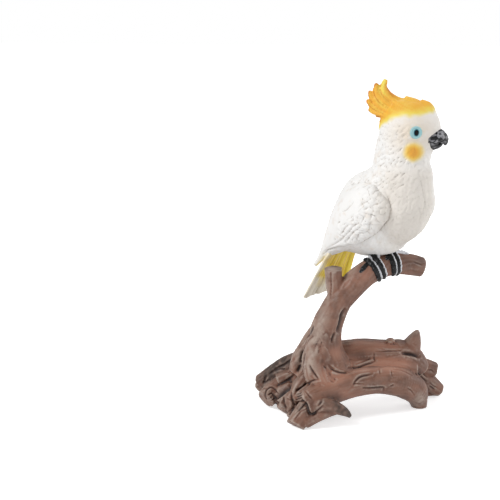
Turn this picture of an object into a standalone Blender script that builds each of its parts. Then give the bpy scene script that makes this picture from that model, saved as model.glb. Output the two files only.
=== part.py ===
"""Painted resin figurine of a crested white cockatoo on a driftwood branch.

The figurine is one casting, so every form below is modelled as its own closed shape and then
fused into a single solid. Metres, +Z up, the bird faces +X and the near side is -Y. The origin is at the
centre of the footprint, on the surface that the driftwood stands on.
"""

import math

import bmesh
import bpy
from mathutils import Matrix, Vector
from mathutils.kdtree import KDTree

# Driftwood, upper part: trunk, perch limb and fork stub
PERCH_HEIGHT = 0.0892
LIMB_REACH = 0.0412
LIMB_RADIUS = 0.0067
LIMB_END_RADIUS = 0.0058
TRUNK_RADIUS = 0.0118
FORK_RADIUS = 0.0080
STUB_HEIGHT = 0.0895
STUB_RADIUS = 0.0051

# Driftwood, lower part: logs, roots and broken sticks
BASE_LENGTH = 0.1180
BASE_DEPTH = 0.0796
LOG_RADIUS = 0.0116
LOG_HEIGHT = 0.0290
SPUR_HEIGHT = 0.0175
ROOT_RADIUS = 0.0086
ARCH_HEIGHT = 0.0212
STICK_RADIUS = 0.0056
KNOB_RADIUS = 0.0052
THORN_RADIUS = 0.0042
GRAIN_RIDGES = 6
GRAIN_DEPTH = 0.0007
CRACK_DEPTH = 0.0021
CRACK_WIDTH = 0.0017

# Bird: body and head
BODY_TURN = math.radians(36.0)
HEAD_TURN = math.radians(8.0)
PERCH_X = 0.485 * LIMB_REACH
CHEST_RADIUS = 0.0268
NECK_RADIUS = 0.0162
BODY_WIDTH_RATIO = 0.92
HEAD_LENGTH = 0.0350
HEAD_HEIGHT = 0.0336
HEAD_WIDTH = 0.0304
FACE_TAPER = 0.42
BEAK_WIDTH = 0.0172
BEAK_REACH = 0.0206
EYE_RADIUS = 0.0037
EYE_RISE = 0.0007
PUPIL_RADIUS = 0.0013
EYE_PLACE = (0.134 * HEAD_LENGTH, 0.0)
CHEEK_PLACE = (0.120 * HEAD_LENGTH, -0.306 * HEAD_LENGTH)
CHEEK_RADIUS = 0.0045
CROWN_LINE = 0.0105

# Bird: plumage
CREST_LENGTH = 0.0200
CREST_FEATHER_WIDTH = 0.0042
WING_THICKNESS = 0.0095
COVERT_LENGTH = 0.0062
COVERT_ROWS = 4
COVERTS_PER_ROW = 4
FLIGHT_FEATHERS = 6
FLIGHT_FEATHER_WIDTH = 0.0046
FEATHER_RELIEF = 0.0015
TAIL_LENGTH = 0.0305
TAIL_SKEW = 0.0040
TAIL_WIDTH = 0.0310
TAIL_THICKNESS = 0.0032
TAIL_FEATHERS = 6

# Bird: feet
TOE_RADIUS = 0.0015
TOE_GAP = 0.0031
FOOT_SPREAD = 0.0092
ANKLE_RADIUS = 0.0030
CLAW_LENGTH = 0.0085

# Casting: the finest form that the mould holds, and how the solid is faceted
MOULD_DETAIL = 0.0007
SMOOTHING_PASSES = 1
ROUGH_FACE_LIMIT = 30000
FACE_LIMIT = 11400

# Painted zones: name, colour, roughness, metallic
PAINTS = {
    "wood_brown": ((0.215, 0.120, 0.088), 0.62, 0.0),
    "plumage_white": ((0.860, 0.845, 0.820), 0.60, 0.0),
    "crest_yellow": ((0.860, 0.480, 0.035), 0.55, 0.0),
    "cheek_orange": ((0.860, 0.480, 0.035), 0.55, 0.0),
    "tail_yellow": ((0.820, 0.680, 0.060), 0.55, 0.0),
    "beak_black": ((0.018, 0.018, 0.019), 0.35, 0.0),
    "eye_ring_blue": ((0.235, 0.560, 0.610), 0.35, 0.0),
    "foot_black": ((0.020, 0.020, 0.022), 0.40, 0.1),
}

FORWARD = Vector((1.0, 0.0, 0.0))
LEFT = Vector((0.0, 1.0, 0.0))
UP = Vector((0.0, 0.0, 1.0))


def clear_scene():
    """Remove every object, so that the script always starts from nothing."""
    for item in list(bpy.data.objects):
        bpy.data.objects.remove(item, do_unlink=True)


def make_paint(name):
    """One Principled material for a painted zone."""
    colour, roughness, metallic = PAINTS[name]
    paint = bpy.data.materials.new(name)
    paint.use_nodes = True
    shader = paint.node_tree.nodes["Principled BSDF"]
    shader.inputs["Base Color"].default_value = (*colour, 1.0)
    shader.inputs["Roughness"].default_value = roughness
    shader.inputs["Metallic"].default_value = metallic
    paint.diffuse_color = (*colour, 1.0)
    return paint


def link_form(name, mesh, zone, forms):
    """Keep a closed mesh as one form of the casting, in its painted zone."""
    form = bpy.data.objects.new(name, mesh)
    forms.objects.link(form)
    form["zone"] = zone
    return form


def smooth_stations(stations, steps):
    """Catmull-Rom through stations, each a flat tuple of numbers."""
    padded = [stations[0], *stations, stations[-1]]
    result = []
    for i in range(1, len(padded) - 2):
        before, start, end, after = padded[i - 1 : i + 3]
        for step in range(steps):
            t = step / steps
            result.append(
                tuple(
                    0.5
                    * (
                        2 * b
                        + (c - a) * t
                        + (2 * a - 5 * b + 4 * c - d) * t**2
                        + (3 * b - a - 3 * c + d) * t**3
                    )
                    for a, b, c, d in zip(before, start, end, after)
                )
            )
    result.append(tuple(stations[-1]))
    return result


def section_frames(centres, side):
    """For each centre of a path: the section's side and up directions."""
    frames = []
    for i, _ in enumerate(centres):
        tangent = (centres[min(i + 1, len(centres) - 1)] - centres[max(i - 1, 0)]).normalized()
        up = tangent.cross(side).normalized()
        frames.append((up.cross(tangent).normalized(), up))
    return frames


def loft(name, stations, zone, forms, side=LEFT, steps=4, segments=28, ridges=0, ridge_depth=0.0):
    """Closed loft of elliptical sections.

    A station is (x, y, z, radius along side, radius across). Ridges run the length of the
    form, twisting slowly, as the grain of a weathered branch does.
    """
    rows = smooth_stations(stations, steps)
    centres = [Vector(row[:3]) for row in rows]
    mesh = bpy.data.meshes.new(name)
    shape = bmesh.new()
    rings = []
    for i, ((across, up), row) in enumerate(zip(section_frames(centres, side), rows)):
        ring = []
        twist = 0.10 * i
        for k in range(segments):
            angle = 2 * math.pi * k / segments
            ridge = ridge_depth * math.cos(ridges * angle + twist) if ridges else 0.0
            offset = across * (math.cos(angle) * (row[3] + ridge))
            offset += up * (math.sin(angle) * (row[4] + ridge))
            ring.append(shape.verts.new(centres[i] + offset))
        rings.append(ring)
    for lower, upper in zip(rings, rings[1:]):
        for k in range(segments):
            shape.faces.new((lower[k - 1], lower[k], upper[k], upper[k - 1]))
    shape.faces.new(rings[0])
    shape.faces.new(list(reversed(rings[-1])))
    bmesh.ops.recalc_face_normals(shape, faces=shape.faces)
    shape.to_mesh(mesh)
    shape.free()
    return link_form(name, mesh, zone, forms)


def tube(name, points, zone, forms):
    """Round tapering tube through (position, radius) points, as a filled Bezier curve."""
    curve = bpy.data.curves.new(name, "CURVE")
    curve.dimensions = "3D"
    curve.bevel_depth = max(radius for _, radius in points)
    curve.bevel_resolution = 3
    curve.use_fill_caps = True
    curve.resolution_u = 6
    spline = curve.splines.new("BEZIER")
    spline.bezier_points.add(len(points) - 1)
    for knot, (position, radius) in zip(spline.bezier_points, points):
        knot.co = position
        knot.radius = radius / curve.bevel_depth
        knot.handle_left_type = knot.handle_right_type = "AUTO"
    guide = bpy.data.objects.new(name, curve)
    forms.objects.link(guide)
    graph = bpy.context.evaluated_depsgraph_get()
    mesh = bpy.data.meshes.new_from_object(guide.evaluated_get(graph))
    bpy.data.objects.remove(guide)
    shape = bmesh.new()
    shape.from_mesh(mesh)
    bmesh.ops.remove_doubles(shape, verts=shape.verts, dist=0.00001)
    bmesh.ops.recalc_face_normals(shape, faces=shape.faces)
    shape.to_mesh(mesh)
    shape.free()
    return link_form(name, mesh, zone, forms)


def ellipsoid(name, radii, placement, zone, forms):
    """UV sphere stretched to three radii and placed by a matrix."""
    mesh = bpy.data.meshes.new(name)
    shape = bmesh.new()
    stretch = Matrix.Diagonal((*radii, 1.0))
    bmesh.ops.create_uvsphere(
        shape, u_segments=48, v_segments=28, radius=1.0, matrix=placement @ stretch
    )
    shape.to_mesh(mesh)
    shape.free()
    return link_form(name, mesh, zone, forms)


def frame_matrix(origin, x_axis, y_axis, z_axis):
    """Placement whose local axes are three given directions."""
    matrix = Matrix((x_axis, y_axis, z_axis)).transposed().to_4x4()
    matrix.translation = origin
    return matrix


def limb_stations():
    """Centreline and radius of trunk and perch limb, from the base up and over."""
    rows = [
        (-0.163, 0.049, 0.180, 1.14 * TRUNK_RADIUS),
        (-0.316, 0.024, 0.360, 1.04 * TRUNK_RADIUS),
        (-0.364, 0.0, 0.480, 0.90 * TRUNK_RADIUS),
        (-0.340, 0.0, 0.600, 0.80 * TRUNK_RADIUS),
        (-0.255, 0.024, 0.700, 1.02 * FORK_RADIUS),
        (-0.158, 0.053, 0.790, 0.98 * FORK_RADIUS),
        (-0.024, 0.092, 0.860, 0.95 * FORK_RADIUS),
        (0.103, 0.133, 0.920, 0.94 * FORK_RADIUS),
        (0.257, 0.199, 0.967, 1.08 * LIMB_RADIUS),
        (0.464, 0.291, 1.000, LIMB_RADIUS),
        (0.670, 0.388, 1.003, 0.97 * LIMB_RADIUS),
        (0.864, 0.473, 0.985, 0.94 * LIMB_RADIUS),
        (1.000, 0.534, 0.966, LIMB_END_RADIUS),
    ]
    return [(LIMB_REACH * x, LIMB_REACH * y, PERCH_HEIGHT * z, radius) for x, y, z, radius in rows]


def limb_at(x):
    """Centre, tangent and radius of the perch limb where its axis passes x."""
    rows = smooth_stations(limb_stations(), 8)
    for low, high in zip(rows, rows[1:]):
        if low[2] > 0.8 * PERCH_HEIGHT and low[0] <= x <= high[0]:
            share = (x - low[0]) / (high[0] - low[0])
            start, end = Vector(low[:3]), Vector(high[:3])
            radius = low[3] + (high[3] - low[3]) * share
            return start.lerp(end, share), (end - start).normalized(), radius
    raise ValueError("the perch limb does not pass that x")


def perch_point():
    """Where the bird sits: just above the axis of the limb."""
    centre, _, _ = limb_at(PERCH_X)
    return centre + UP * (0.27 * LIMB_RADIUS)


def base_point(x, y, z):
    """A point of the lower driftwood, from shares of its length, its depth and the log's height."""
    return (BASE_LENGTH * x, BASE_DEPTH * y, LOG_HEIGHT * z)


def wood(name, stations, forms, ridge_share=1.0):
    """One branch, root or stick: a round loft with grain ridges along it."""
    doubled = [(*station, station[3]) for station in stations]
    return loft(
        name,
        doubled,
        "wood_brown",
        forms,
        steps=5,
        ridges=GRAIN_RIDGES,
        ridge_depth=GRAIN_DEPTH * ridge_share,
    )


def build_upper_driftwood(forms):
    """Trunk with its perch limb, the sawn stub at the fork, and two buttresses."""
    wood("trunk_and_limb", limb_stations(), forms)
    fork = limb_stations()[5]
    rise = STUB_HEIGHT - fork[2]
    stub = [
        (-0.024, 0.0, 0.0, 1.05),
        (-0.073, 0.010, 0.45, 1.02),
        (-0.097, -0.005, 0.80, 0.98),
        (-0.107, -0.010, 1.00, 1.05),
    ]
    wood(
        "fork_stub",
        [
            (fork[0] + LIMB_REACH * x, fork[1] + LIMB_REACH * y, fork[2] + rise * z, STUB_RADIUS * share)
            for x, y, z, share in stub
        ],
        forms,
    )
    buttresses = {
        "buttress_left": [
            (-0.127, 0.0, 1.97, 0.50),
            (-0.191, 0.038, 1.44, 0.56),
            (-0.237, 0.060, 1.10, 0.58),
            (-0.254, 0.075, 0.83, 0.55),
        ],
        "buttress_front": [
            (-0.127, 0.0, 1.97, 0.50),
            (-0.164, -0.050, 1.45, 0.58),
            (-0.174, -0.093, 1.10, 0.63),
            (-0.140, -0.113, 0.83, 0.64),
            (-0.068, -0.082, 0.69, 0.59),
        ],
    }
    for name, rows in buttresses.items():
        wood(name, [(*base_point(x, y, z), TRUNK_RADIUS * share) for x, y, z, share in rows], forms)


def build_logs(forms):
    """The broken log behind, its spur and knobs, and the arched root in front."""
    back_log = [
        (-0.169, 0.163, 0.80, 0.85),
        (-0.075, 0.188, 0.93, 1.04),
        (0.053, 0.239, 1.01, 1.00),
        (0.181, 0.270, 1.00, 0.95),
        (0.263, 0.295, 0.97, 0.98),
        (0.318, 0.320, 0.86, 0.83),
        (0.364, 0.352, 0.67, 0.56),
    ]
    front_root = [
        (-0.210, -0.216, 0.57, 0.98),
        (-0.161, -0.170, 0.74, 1.02),
        (-0.070, -0.094, 0.90, 1.03),
        (0.034, -0.025, 0.99, 0.98),
        (0.144, 0.038, 1.00, 0.97),
        (0.257, 0.107, 0.87, 1.05),
        (0.331, 0.163, 0.55, 0.94),
        (0.356, 0.207, 0.20, 0.68),
        (0.363, 0.216, -0.09, 0.50),
    ]
    web = [
        (-0.102, 0.050, 0.79, 1.16),
        (0.051, 0.107, 0.83, 0.99),
        (0.195, 0.163, 0.83, 0.93),
        (0.322, 0.226, 0.69, 0.93),
    ]
    arch = ARCH_HEIGHT / LOG_HEIGHT
    wood("back_log", [(*base_point(x, y, z), LOG_RADIUS * share) for x, y, z, share in back_log], forms)
    wood(
        "front_root",
        [(*base_point(x, y, arch * z), ROOT_RADIUS * share) for x, y, z, share in front_root],
        forms,
    )
    wood(
        "web_between_log_and_root",
        [(*base_point(x, y, z), ROOT_RADIUS * share) for x, y, z, share in web],
        forms,
    )
    spur = [(0.297, 0.0, 0.62), (0.324, 0.55, 0.43), (0.341, 0.90, 0.17), (0.342, 1.00, 0.05)]
    tube(
        "spur",
        [
            (Vector(base_point(x, 0.302, 1.0)) + UP * (SPUR_HEIGHT * rise), LOG_RADIUS * share)
            for x, rise, share in spur
        ],
        "wood_brown",
        forms,
    )
    knobs = {
        "upper_knob": [(0.280, 0.327, 0.81), (0.381, 0.402, 0.69), (0.449, 0.427, 0.60)],
        "rear_foot_knob": [(0.280, 0.327, 0.66), (0.407, 0.427, 0.34), (0.475, 0.471, 0.10)],
        "rear_foot_pad": [(0.339, 0.389, 0.52), (0.398, 0.465, 0.24), (0.424, 0.496, -0.07)],
    }
    for name, points in knobs.items():
        radii = (1.15 * KNOB_RADIUS, 1.05 * KNOB_RADIUS, 0.86 * KNOB_RADIUS)
        wood(name, [(*base_point(*p), r) for p, r in zip(points, radii)], forms)


def build_sticks(forms):
    """The bundle of broken sticks and roots at the left end, and the thorn twig."""
    sticks = {
        "stick_behind": [(-0.169, 0.163, 1.10), (-0.331, 0.232, 0.79), (-0.459, 0.283, 0.32)],
        "stick_outer": [(-0.195, 0.251, 0.93), (-0.356, 0.327, 0.55), (-0.466, 0.364, 0.14)],
        "stick_spiral_end": [(-0.195, 0.138, 0.88), (-0.356, 0.132, 0.43), (-0.424, 0.044, 0.22)],
        "stick_short": [(-0.169, 0.038, 0.76), (-0.271, 0.0, 0.43), (-0.339, -0.050, 0.17)],
        "stick_notched": [(-0.161, 0.0, 0.97), (-0.233, -0.057, 0.66), (-0.269, -0.107, 0.36)],
        "root_forward": [(-0.134, -0.138, 0.62), (-0.203, -0.226, 0.38), (-0.258, -0.308, 0.06)],
        "root_behind": [(-0.102, 0.226, 0.90), (-0.186, 0.377, 0.45), (-0.254, 0.465, -0.07)],
        "root_rear": [(-0.136, 0.251, 0.83), (-0.271, 0.389, 0.41), (-0.364, 0.465, 0.03)],
        "root_inner": [(-0.136, 0.0, 0.52), (-0.220, -0.075, 0.21), (-0.271, -0.138, -0.07)],
    }
    for name, points in sticks.items():
        radii = (0.95 * STICK_RADIUS, STICK_RADIUS, 1.02 * STICK_RADIUS)
        wood(name, [(*base_point(*p), r) for p, r in zip(points, radii)], forms, 0.7)
    core = frame_matrix(Vector(base_point(-0.229, 0.101, 0.28)), FORWARD, LEFT, UP)
    size = (0.161 * BASE_LENGTH, 0.251 * BASE_DEPTH, 0.43 * LOG_HEIGHT)
    ellipsoid("core_under_sticks", size, core, "wood_brown", forms)
    thorn = [
        (-0.191, -0.251, 0.41, 1.15),
        (-0.119, -0.270, 0.48, 1.05),
        (-0.059, -0.266, 0.41, 0.85),
        (-0.017, -0.249, 0.32, 0.60),
        (0.008, -0.232, 0.21, 0.28),
    ]
    tube(
        "thorn_twig",
        [(Vector(base_point(x, y, z)), THORN_RADIUS * share) for x, y, z, share in thorn],
        "wood_brown",
        forms,
    )


class BirdFrame:
    """Axes of the bird or of its head: forward, left and up from an origin."""

    def __init__(self, origin, turn):
        self.origin = origin
        self.forward = Vector((math.cos(turn), -math.sin(turn), 0.0))
        self.left = Vector((math.sin(turn), math.cos(turn), 0.0))

    def at(self, forward, left, up):
        """Point at distances forward, left and up of the origin."""
        return self.origin + self.forward * forward + self.left * left + UP * up

    def matrix(self):
        """Placement whose local axes are forward, left and up."""
        return frame_matrix(self.origin, self.forward, self.left, UP)


def body_frame():
    """The body is turned towards the near side of the branch."""
    return BirdFrame(perch_point(), BODY_TURN)


def head_frame():
    """The head is turned back, almost to a true profile."""
    neck_top = body_frame().at(0.515 * CHEST_RADIUS, 0.0, 2.993 * CHEST_RADIUS)
    return BirdFrame(neck_top, HEAD_TURN)


def build_body(forms):
    """Egg-shaped back and belly, and the upright breast and neck that rise from them."""
    body = body_frame()
    chest = CHEST_RADIUS
    back_and_belly = [
        (-1.455, 0.194, 0.201),
        (-1.313, 0.328, 0.336),
        (-1.052, 0.552, 0.552),
        (-0.720, 0.769, 0.784),
        (-0.354, 1.015, 0.933),
        (-0.093, 1.194, 0.918),
        (0.149, 1.306, 0.720),
        (0.299, 1.381, 0.340),
    ]
    breast = [
        (-0.019, 0.410, 0.224),
        (0.052, 0.672, 0.515),
        (0.104, 0.896, 0.687),
        (0.157, 1.119, 0.784),
        (0.201, 1.418, 0.873),
        (0.261, 1.716, 0.821),
        (0.336, 2.015, 0.694),
    ]
    neck = [
        (0.328, 2.313, 1.00 * NECK_RADIUS / chest),
        (0.403, 2.631, 1.01 * NECK_RADIUS / chest),
        (0.425, 2.800, 0.90 * NECK_RADIUS / chest),
    ]
    spines = {"back_and_belly": back_and_belly, "breast_and_neck": breast + neck}
    for name, spine in spines.items():
        stations = [
            (*body.at(chest * f, 0.0, chest * z), BODY_WIDTH_RATIO * chest * share, chest * share)
            for f, z, share in spine
        ]
        loft(name, stations, "plumage_white", forms, side=body.left, segments=40)


def head_surface(forward, up):
    """Half width of the head at a place seen from the side."""
    share = (2 * forward / HEAD_LENGTH) ** 2 + (2 * up / HEAD_HEIGHT) ** 2
    taper = 1.0 - FACE_TAPER * max(forward, 0.0) / (0.5 * HEAD_LENGTH)
    return 0.5 * HEAD_WIDTH * math.sqrt(max(1.0 - share, 0.0)) * taper


def build_head(forms):
    """Egg-shaped head, narrower at the face, with beak and eyes."""
    head = head_frame()
    skull = ellipsoid(
        "head",
        (0.5 * HEAD_LENGTH, 0.5 * HEAD_WIDTH, 0.5 * HEAD_HEIGHT),
        Matrix.Identity(4),
        "plumage_white",
        forms,
    )
    for vertex in skull.data.vertices:
        if vertex.co.x > 0.0:
            vertex.co.y *= 1.0 - FACE_TAPER * vertex.co.x / (0.5 * HEAD_LENGTH)
    skull.data.transform(head.matrix())
    brow = frame_matrix(
        head.at(0.200 * HEAD_LENGTH, 0.0, 0.217 * HEAD_LENGTH), head.forward, head.left, UP
    )
    brow_size = (0.229 * HEAD_LENGTH, 0.180 * HEAD_LENGTH, 0.222 * HEAD_LENGTH)
    ellipsoid("forehead", brow_size, brow, "plumage_white", forms)
    reach = BEAK_REACH
    half = 0.5 * BEAK_WIDTH
    upper = [
        (0.34, -0.233, 0.96, 0.223),
        (0.52, -0.214, 1.03, 0.243),
        (0.68, -0.209, 0.93, 0.238),
        (0.8, -0.199, 0.78, 0.228),
        (0.9, -0.238, 0.58, 0.165),
        (0.965, -0.320, 0.38, 0.097),
        (0.975, -0.417, 0.2, 0.039),
    ]
    lower = [
        (0.36, -0.320, 0.88, 0.184),
        (0.55, -0.359, 0.8, 0.175),
        (0.7, -0.403, 0.64, 0.150),
        (0.82, -0.408, 0.42, 0.087),
        (0.89, -0.398, 0.22, 0.039),
    ]
    for name, profile in (("upper_beak", upper), ("lower_beak", lower)):
        stations = [
            (*head.at(reach * f, 0.0, reach * z), half * wide, reach * deep)
            for f, z, wide, deep in profile
        ]
        loft(name, stations, "beak_black", forms, side=head.left, steps=4, segments=24)
    for sign, side_name in ((-1, "right"), (1, "left")):
        forward, up = EYE_PLACE
        depth = head_surface(forward, up)
        centre = head.at(forward, sign * (depth - 0.16 * EYE_RADIUS), up)
        step = 0.05 * HEAD_LENGTH
        slope = (head_surface(forward + step, up) - depth) / step
        normal = (head.left * sign - head.forward * slope).normalized()
        along = UP.cross(normal).normalized()
        place = frame_matrix(centre, along, normal, UP)
        ring = (EYE_RADIUS, EYE_RISE + 0.16 * EYE_RADIUS, EYE_RADIUS)
        ellipsoid(f"{side_name}_eye_ring", ring, place, "eye_ring_blue", forms)
        cheek_forward, cheek_up = CHEEK_PLACE
        cheek_depth = head_surface(cheek_forward, cheek_up) + 0.36 * CHEEK_RADIUS
        cheek = head.at(cheek_forward, sign * cheek_depth, cheek_up)
        patch = frame_matrix(cheek, along, normal, UP)
        size = (CHEEK_RADIUS, 0.49 * CHEEK_RADIUS, CHEEK_RADIUS)
        ellipsoid(f"{side_name}_cheek_patch", size, patch, "cheek_orange", forms)
        pupil = frame_matrix(centre + normal * EYE_RISE, along, normal, UP)
        size = (PUPIL_RADIUS, 0.70 * PUPIL_RADIUS, 1.25 * PUPIL_RADIUS)
        ellipsoid(f"{side_name}_pupil", size, pupil, "beak_black", forms)


def build_crest(forms):
    """Fan of recurved crest feathers, and the short ones that lie along the crown."""
    head = head_frame()
    span = CREST_LENGTH
    half = 0.5 * CREST_FEATHER_WIDTH
    thick = (1.10, 1.05, 0.95, 0.80, 0.30)
    fan = [
        ((0.05, 0.60), (-0.38, 0.75), (-0.63, 0.91), (-0.77, 1.12), (-0.76, 1.32), 1.25),
        ((-0.15, 0.53), (-0.60, 0.67), (-0.87, 0.87), (-0.99, 1.08), (-0.98, 1.23), 1.06),
        ((-0.35, 0.45), (-0.77, 0.56), (-1.00, 0.73), (-1.11, 0.90), (-1.14, 1.01), 0.98),
        ((-0.40, 0.38), (-0.81, 0.46), (-1.03, 0.58), (-1.15, 0.68), (-1.21, 0.75), 0.94),
        ((-0.45, 0.28), (-0.74, 0.36), (-0.94, 0.40), (-1.08, 0.45), (-1.16, 0.51), 0.94),
    ]
    for k, (*points, width) in enumerate(fan):
        sway = 0.045 * (-1) ** k
        stations = [
            (*head.at(span * f, span * sway * abs(f), span * z), 0.95 * half * share, half * width * share)
            for (f, z), share in zip(points, thick)
        ]
        name = f"crest_feather_{k + 1}"
        loft(name, stations, "crest_yellow", forms, side=head.left, steps=4, segments=16)
    crown = [
        ((0.600, 0.495), (0.450, 0.645), (0.275, 0.805), 0.15),
        ((0.350, 0.595), (0.100, 0.705), (-0.180, 0.895), 0.16),
        ((0.100, 0.595), (-0.230, 0.650), (-0.525, 0.750), 0.22),
    ]
    for k, (front, middle, tip, radius) in enumerate(crown):
        profile = ((front, 1.7, 0.8), (middle, 1.6, 1.0), (tip, 0.6, 0.35))
        stations = [
            (*head.at(span * f, 0.0, span * z), span * radius * wide, span * radius * deep)
            for (f, z), wide, deep in profile
        ]
        name = f"crown_feather_{k + 1}"
        loft(name, stations, "crest_yellow", forms, side=head.left, steps=4, segments=16)


def wing_stations(sign):
    """Folded wing from the shoulder to the tip: bird-frame centre, half height, half thickness."""
    chest = CHEST_RADIUS
    rows = [
        (0.336, 0.709, 1.698, 0.261, 0.55),
        (0.187, 0.709, 1.530, 0.448, 0.86),
        (-0.142, 0.694, 1.269, 0.545, 1.00),
        (-0.541, 0.619, 0.888, 0.500, 0.95),
        (-0.985, 0.493, 0.470, 0.328, 0.72),
        (-1.440, 0.336, 0.037, 0.116, 0.34),
        (-1.754, 0.261, -0.306, 0.045, 0.12),
    ]
    return [
        (chest * f, sign * chest * left, chest * up, chest * half, WING_THICKNESS * thick)
        for f, left, up, half, thick in rows
    ]


def wing_place(sign, share, across):
    """Point on the wing's outer face, with the along, across and outward directions."""
    body = body_frame()
    rows = smooth_stations(wing_stations(sign), 6)
    index = min(int(share * (len(rows) - 1)), len(rows) - 2)
    part = share * (len(rows) - 1) - index
    low, high = rows[index], rows[index + 1]
    row = [a + (b - a) * part for a, b in zip(low, high)]
    along = (body.at(*high[:3]) - body.at(*low[:3])).normalized()
    outward = body.left * sign
    up = along.cross(outward).normalized() * sign
    outward = (outward - along * outward.dot(along)).normalized()
    bulge = math.sqrt(max(1.0 - across**2, 0.0))
    centre = body.at(*row[:3]) + up * (across * row[3]) + outward * (bulge * row[4])
    normal = (up * (across * row[4]) + outward * (bulge * row[3])).normalized()
    return centre, along, normal.cross(along).normalized(), normal


def build_wing(sign, forms):
    """One folded wing: the blade, its rows of coverts and its long flight feathers."""
    side_name = "left" if sign > 0 else "right"
    body = body_frame()
    stations = [(*body.at(*row[:3]), row[4], row[3]) for row in wing_stations(sign)]
    loft(
        f"{side_name}_wing",
        stations,
        "plumage_white",
        forms,
        side=body.left,
        steps=4,
        segments=32,
    )
    for row in range(COVERT_ROWS):
        for column in range(COVERTS_PER_ROW):
            share = 0.10 + 0.105 * row
            offset = 0.5 * (row % 2)
            across = -0.78 + 1.35 * (column + offset) / COVERTS_PER_ROW
            centre, along, over, normal = wing_place(sign, share, across)
            tilted = (normal + 0.26 * along).normalized()
            place = frame_matrix(centre + normal * (0.2 * FEATHER_RELIEF), along, over, tilted)
            size = (0.5 * COVERT_LENGTH, 0.36 * COVERT_LENGTH, FEATHER_RELIEF)
            name = f"{side_name}_covert_{row + 1}_{column + 1}"
            ellipsoid(name, size, place, "plumage_white", forms)
    for k in range(FLIGHT_FEATHERS):
        lane = k / (FLIGHT_FEATHERS - 1)
        start = 0.50 - 0.05 * lane
        end = 0.97 - 0.34 * lane
        stations = []
        for step in range(6):
            part = step / 5
            share = start + (end - start) * part
            across = -0.84 + 1.30 * lane * (1.0 - 0.25 * part)
            centre, _, _, normal = wing_place(sign, share, across)
            width = FLIGHT_FEATHER_WIDTH * (0.55 - 0.30 * part**2)
            lift = FEATHER_RELIEF * (0.15 + 0.45 * part)
            stations.append((*(centre + normal * lift), 0.8 * FEATHER_RELIEF, width))
        loft(
            f"{side_name}_flight_feather_{k + 1}",
            stations,
            "plumage_white",
            forms,
            side=body.left,
            steps=3,
            segments=14,
        )


def build_tail(forms):
    """Fan of square-cut tail feathers that hangs behind the fork."""
    body = body_frame()
    root = Vector((-1.194, 0.0, 0.075)) * CHEST_RADIUS
    slope = Vector((-0.41, 0.0, -0.91)).normalized()
    for k in range(TAIL_FEATHERS):
        lane = 2 * k / (TAIL_FEATHERS - 1) - 1
        step_back = 0.22 * TAIL_THICKNESS * (k % 2)
        lateral = lane * TAIL_WIDTH
        inner = root + Vector((0.20 * TAIL_LENGTH - step_back, 0.32 * lateral, 0.23 * TAIL_LENGTH))
        middle = root + Vector((-step_back, 0.39 * lateral, 0.0))
        end = root + slope * TAIL_LENGTH
        end += Vector((TAIL_SKEW * lane - step_back, 0.43 * lateral, 0.4 * TAIL_SKEW * lane))
        lane_width = TAIL_WIDTH / TAIL_FEATHERS
        stations = [
            (*body.at(*inner), 0.46 * lane_width, 0.75 * TAIL_THICKNESS),
            (*body.at(*middle), 0.58 * lane_width, 0.55 * TAIL_THICKNESS),
            (*body.at(*end), 0.72 * lane_width, 0.40 * TAIL_THICKNESS),
        ]
        loft(
            f"tail_feather_{k + 1}",
            stations,
            "tail_yellow",
            forms,
            side=body.left,
            steps=4,
            segments=16,
        )


def toe_path(x, start, end, run=0.0):
    """Points of a toe that wraps the limb: angles from the top, positive to the near side."""
    points = []
    bends = 7
    for step in range(bends):
        part = step / (bends - 1)
        centre, tangent, radius = limb_at(x + run * part)
        near = tangent.cross(UP).normalized()
        top = near.cross(tangent).normalized()
        angle = math.radians(start + (end - start) * part)
        knuckle = 1.0 + 0.10 * math.cos(2 * math.pi * 2.5 * part)
        taper = 1.0 if part < 0.7 else 1.0 - 2.2 * (part - 0.7)
        thickness = TOE_RADIUS * knuckle * max(taper, 0.3)
        arm = radius + GRAIN_DEPTH + 0.35 * TOE_RADIUS
        place = centre + arm * (math.cos(angle) * top + math.sin(angle) * near)
        points.append((place, thickness))
    return points


def build_feet(forms):
    """Two feet that grip the limb: front toes over the near side, back toes over the far side."""
    for foot, shift in (("right", -0.56 * FOOT_SPREAD), ("left", 0.44 * FOOT_SPREAD)):
        x = PERCH_X + shift
        centre, tangent, radius = limb_at(x)
        ankle = frame_matrix(centre + UP * (radius + 0.4 * ANKLE_RADIUS), FORWARD, LEFT, UP)
        size = (1.25 * ANKLE_RADIUS, ANKLE_RADIUS, 0.8 * ANKLE_RADIUS)
        ellipsoid(f"{foot}_ankle", size, ankle, "foot_black", forms)
        toes = {
            "inner_front_toe": toe_path(x + 0.5 * TOE_GAP, -10.0, 150.0, 0.45 * TOE_GAP),
            "outer_front_toe": toe_path(x - 0.5 * TOE_GAP, -10.0, 150.0, 0.45 * TOE_GAP),
            "inner_back_toe": toe_path(x + 0.5 * TOE_GAP, 10.0, -140.0, 0.32 * TOE_GAP),
            "outer_back_toe": toe_path(x - 0.2 * TOE_GAP, 20.0, 55.0, -CLAW_LENGTH),
        }
        for toe, points in toes.items():
            tube(f"{foot}_{toe}", points, "foot_black", forms)
    tube(
        "left_side_claw",
        toe_path(PERCH_X + 0.44 * FOOT_SPREAD, -12.0, 14.0, 0.8 * CLAW_LENGTH),
        "foot_black",
        forms,
    )


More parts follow.
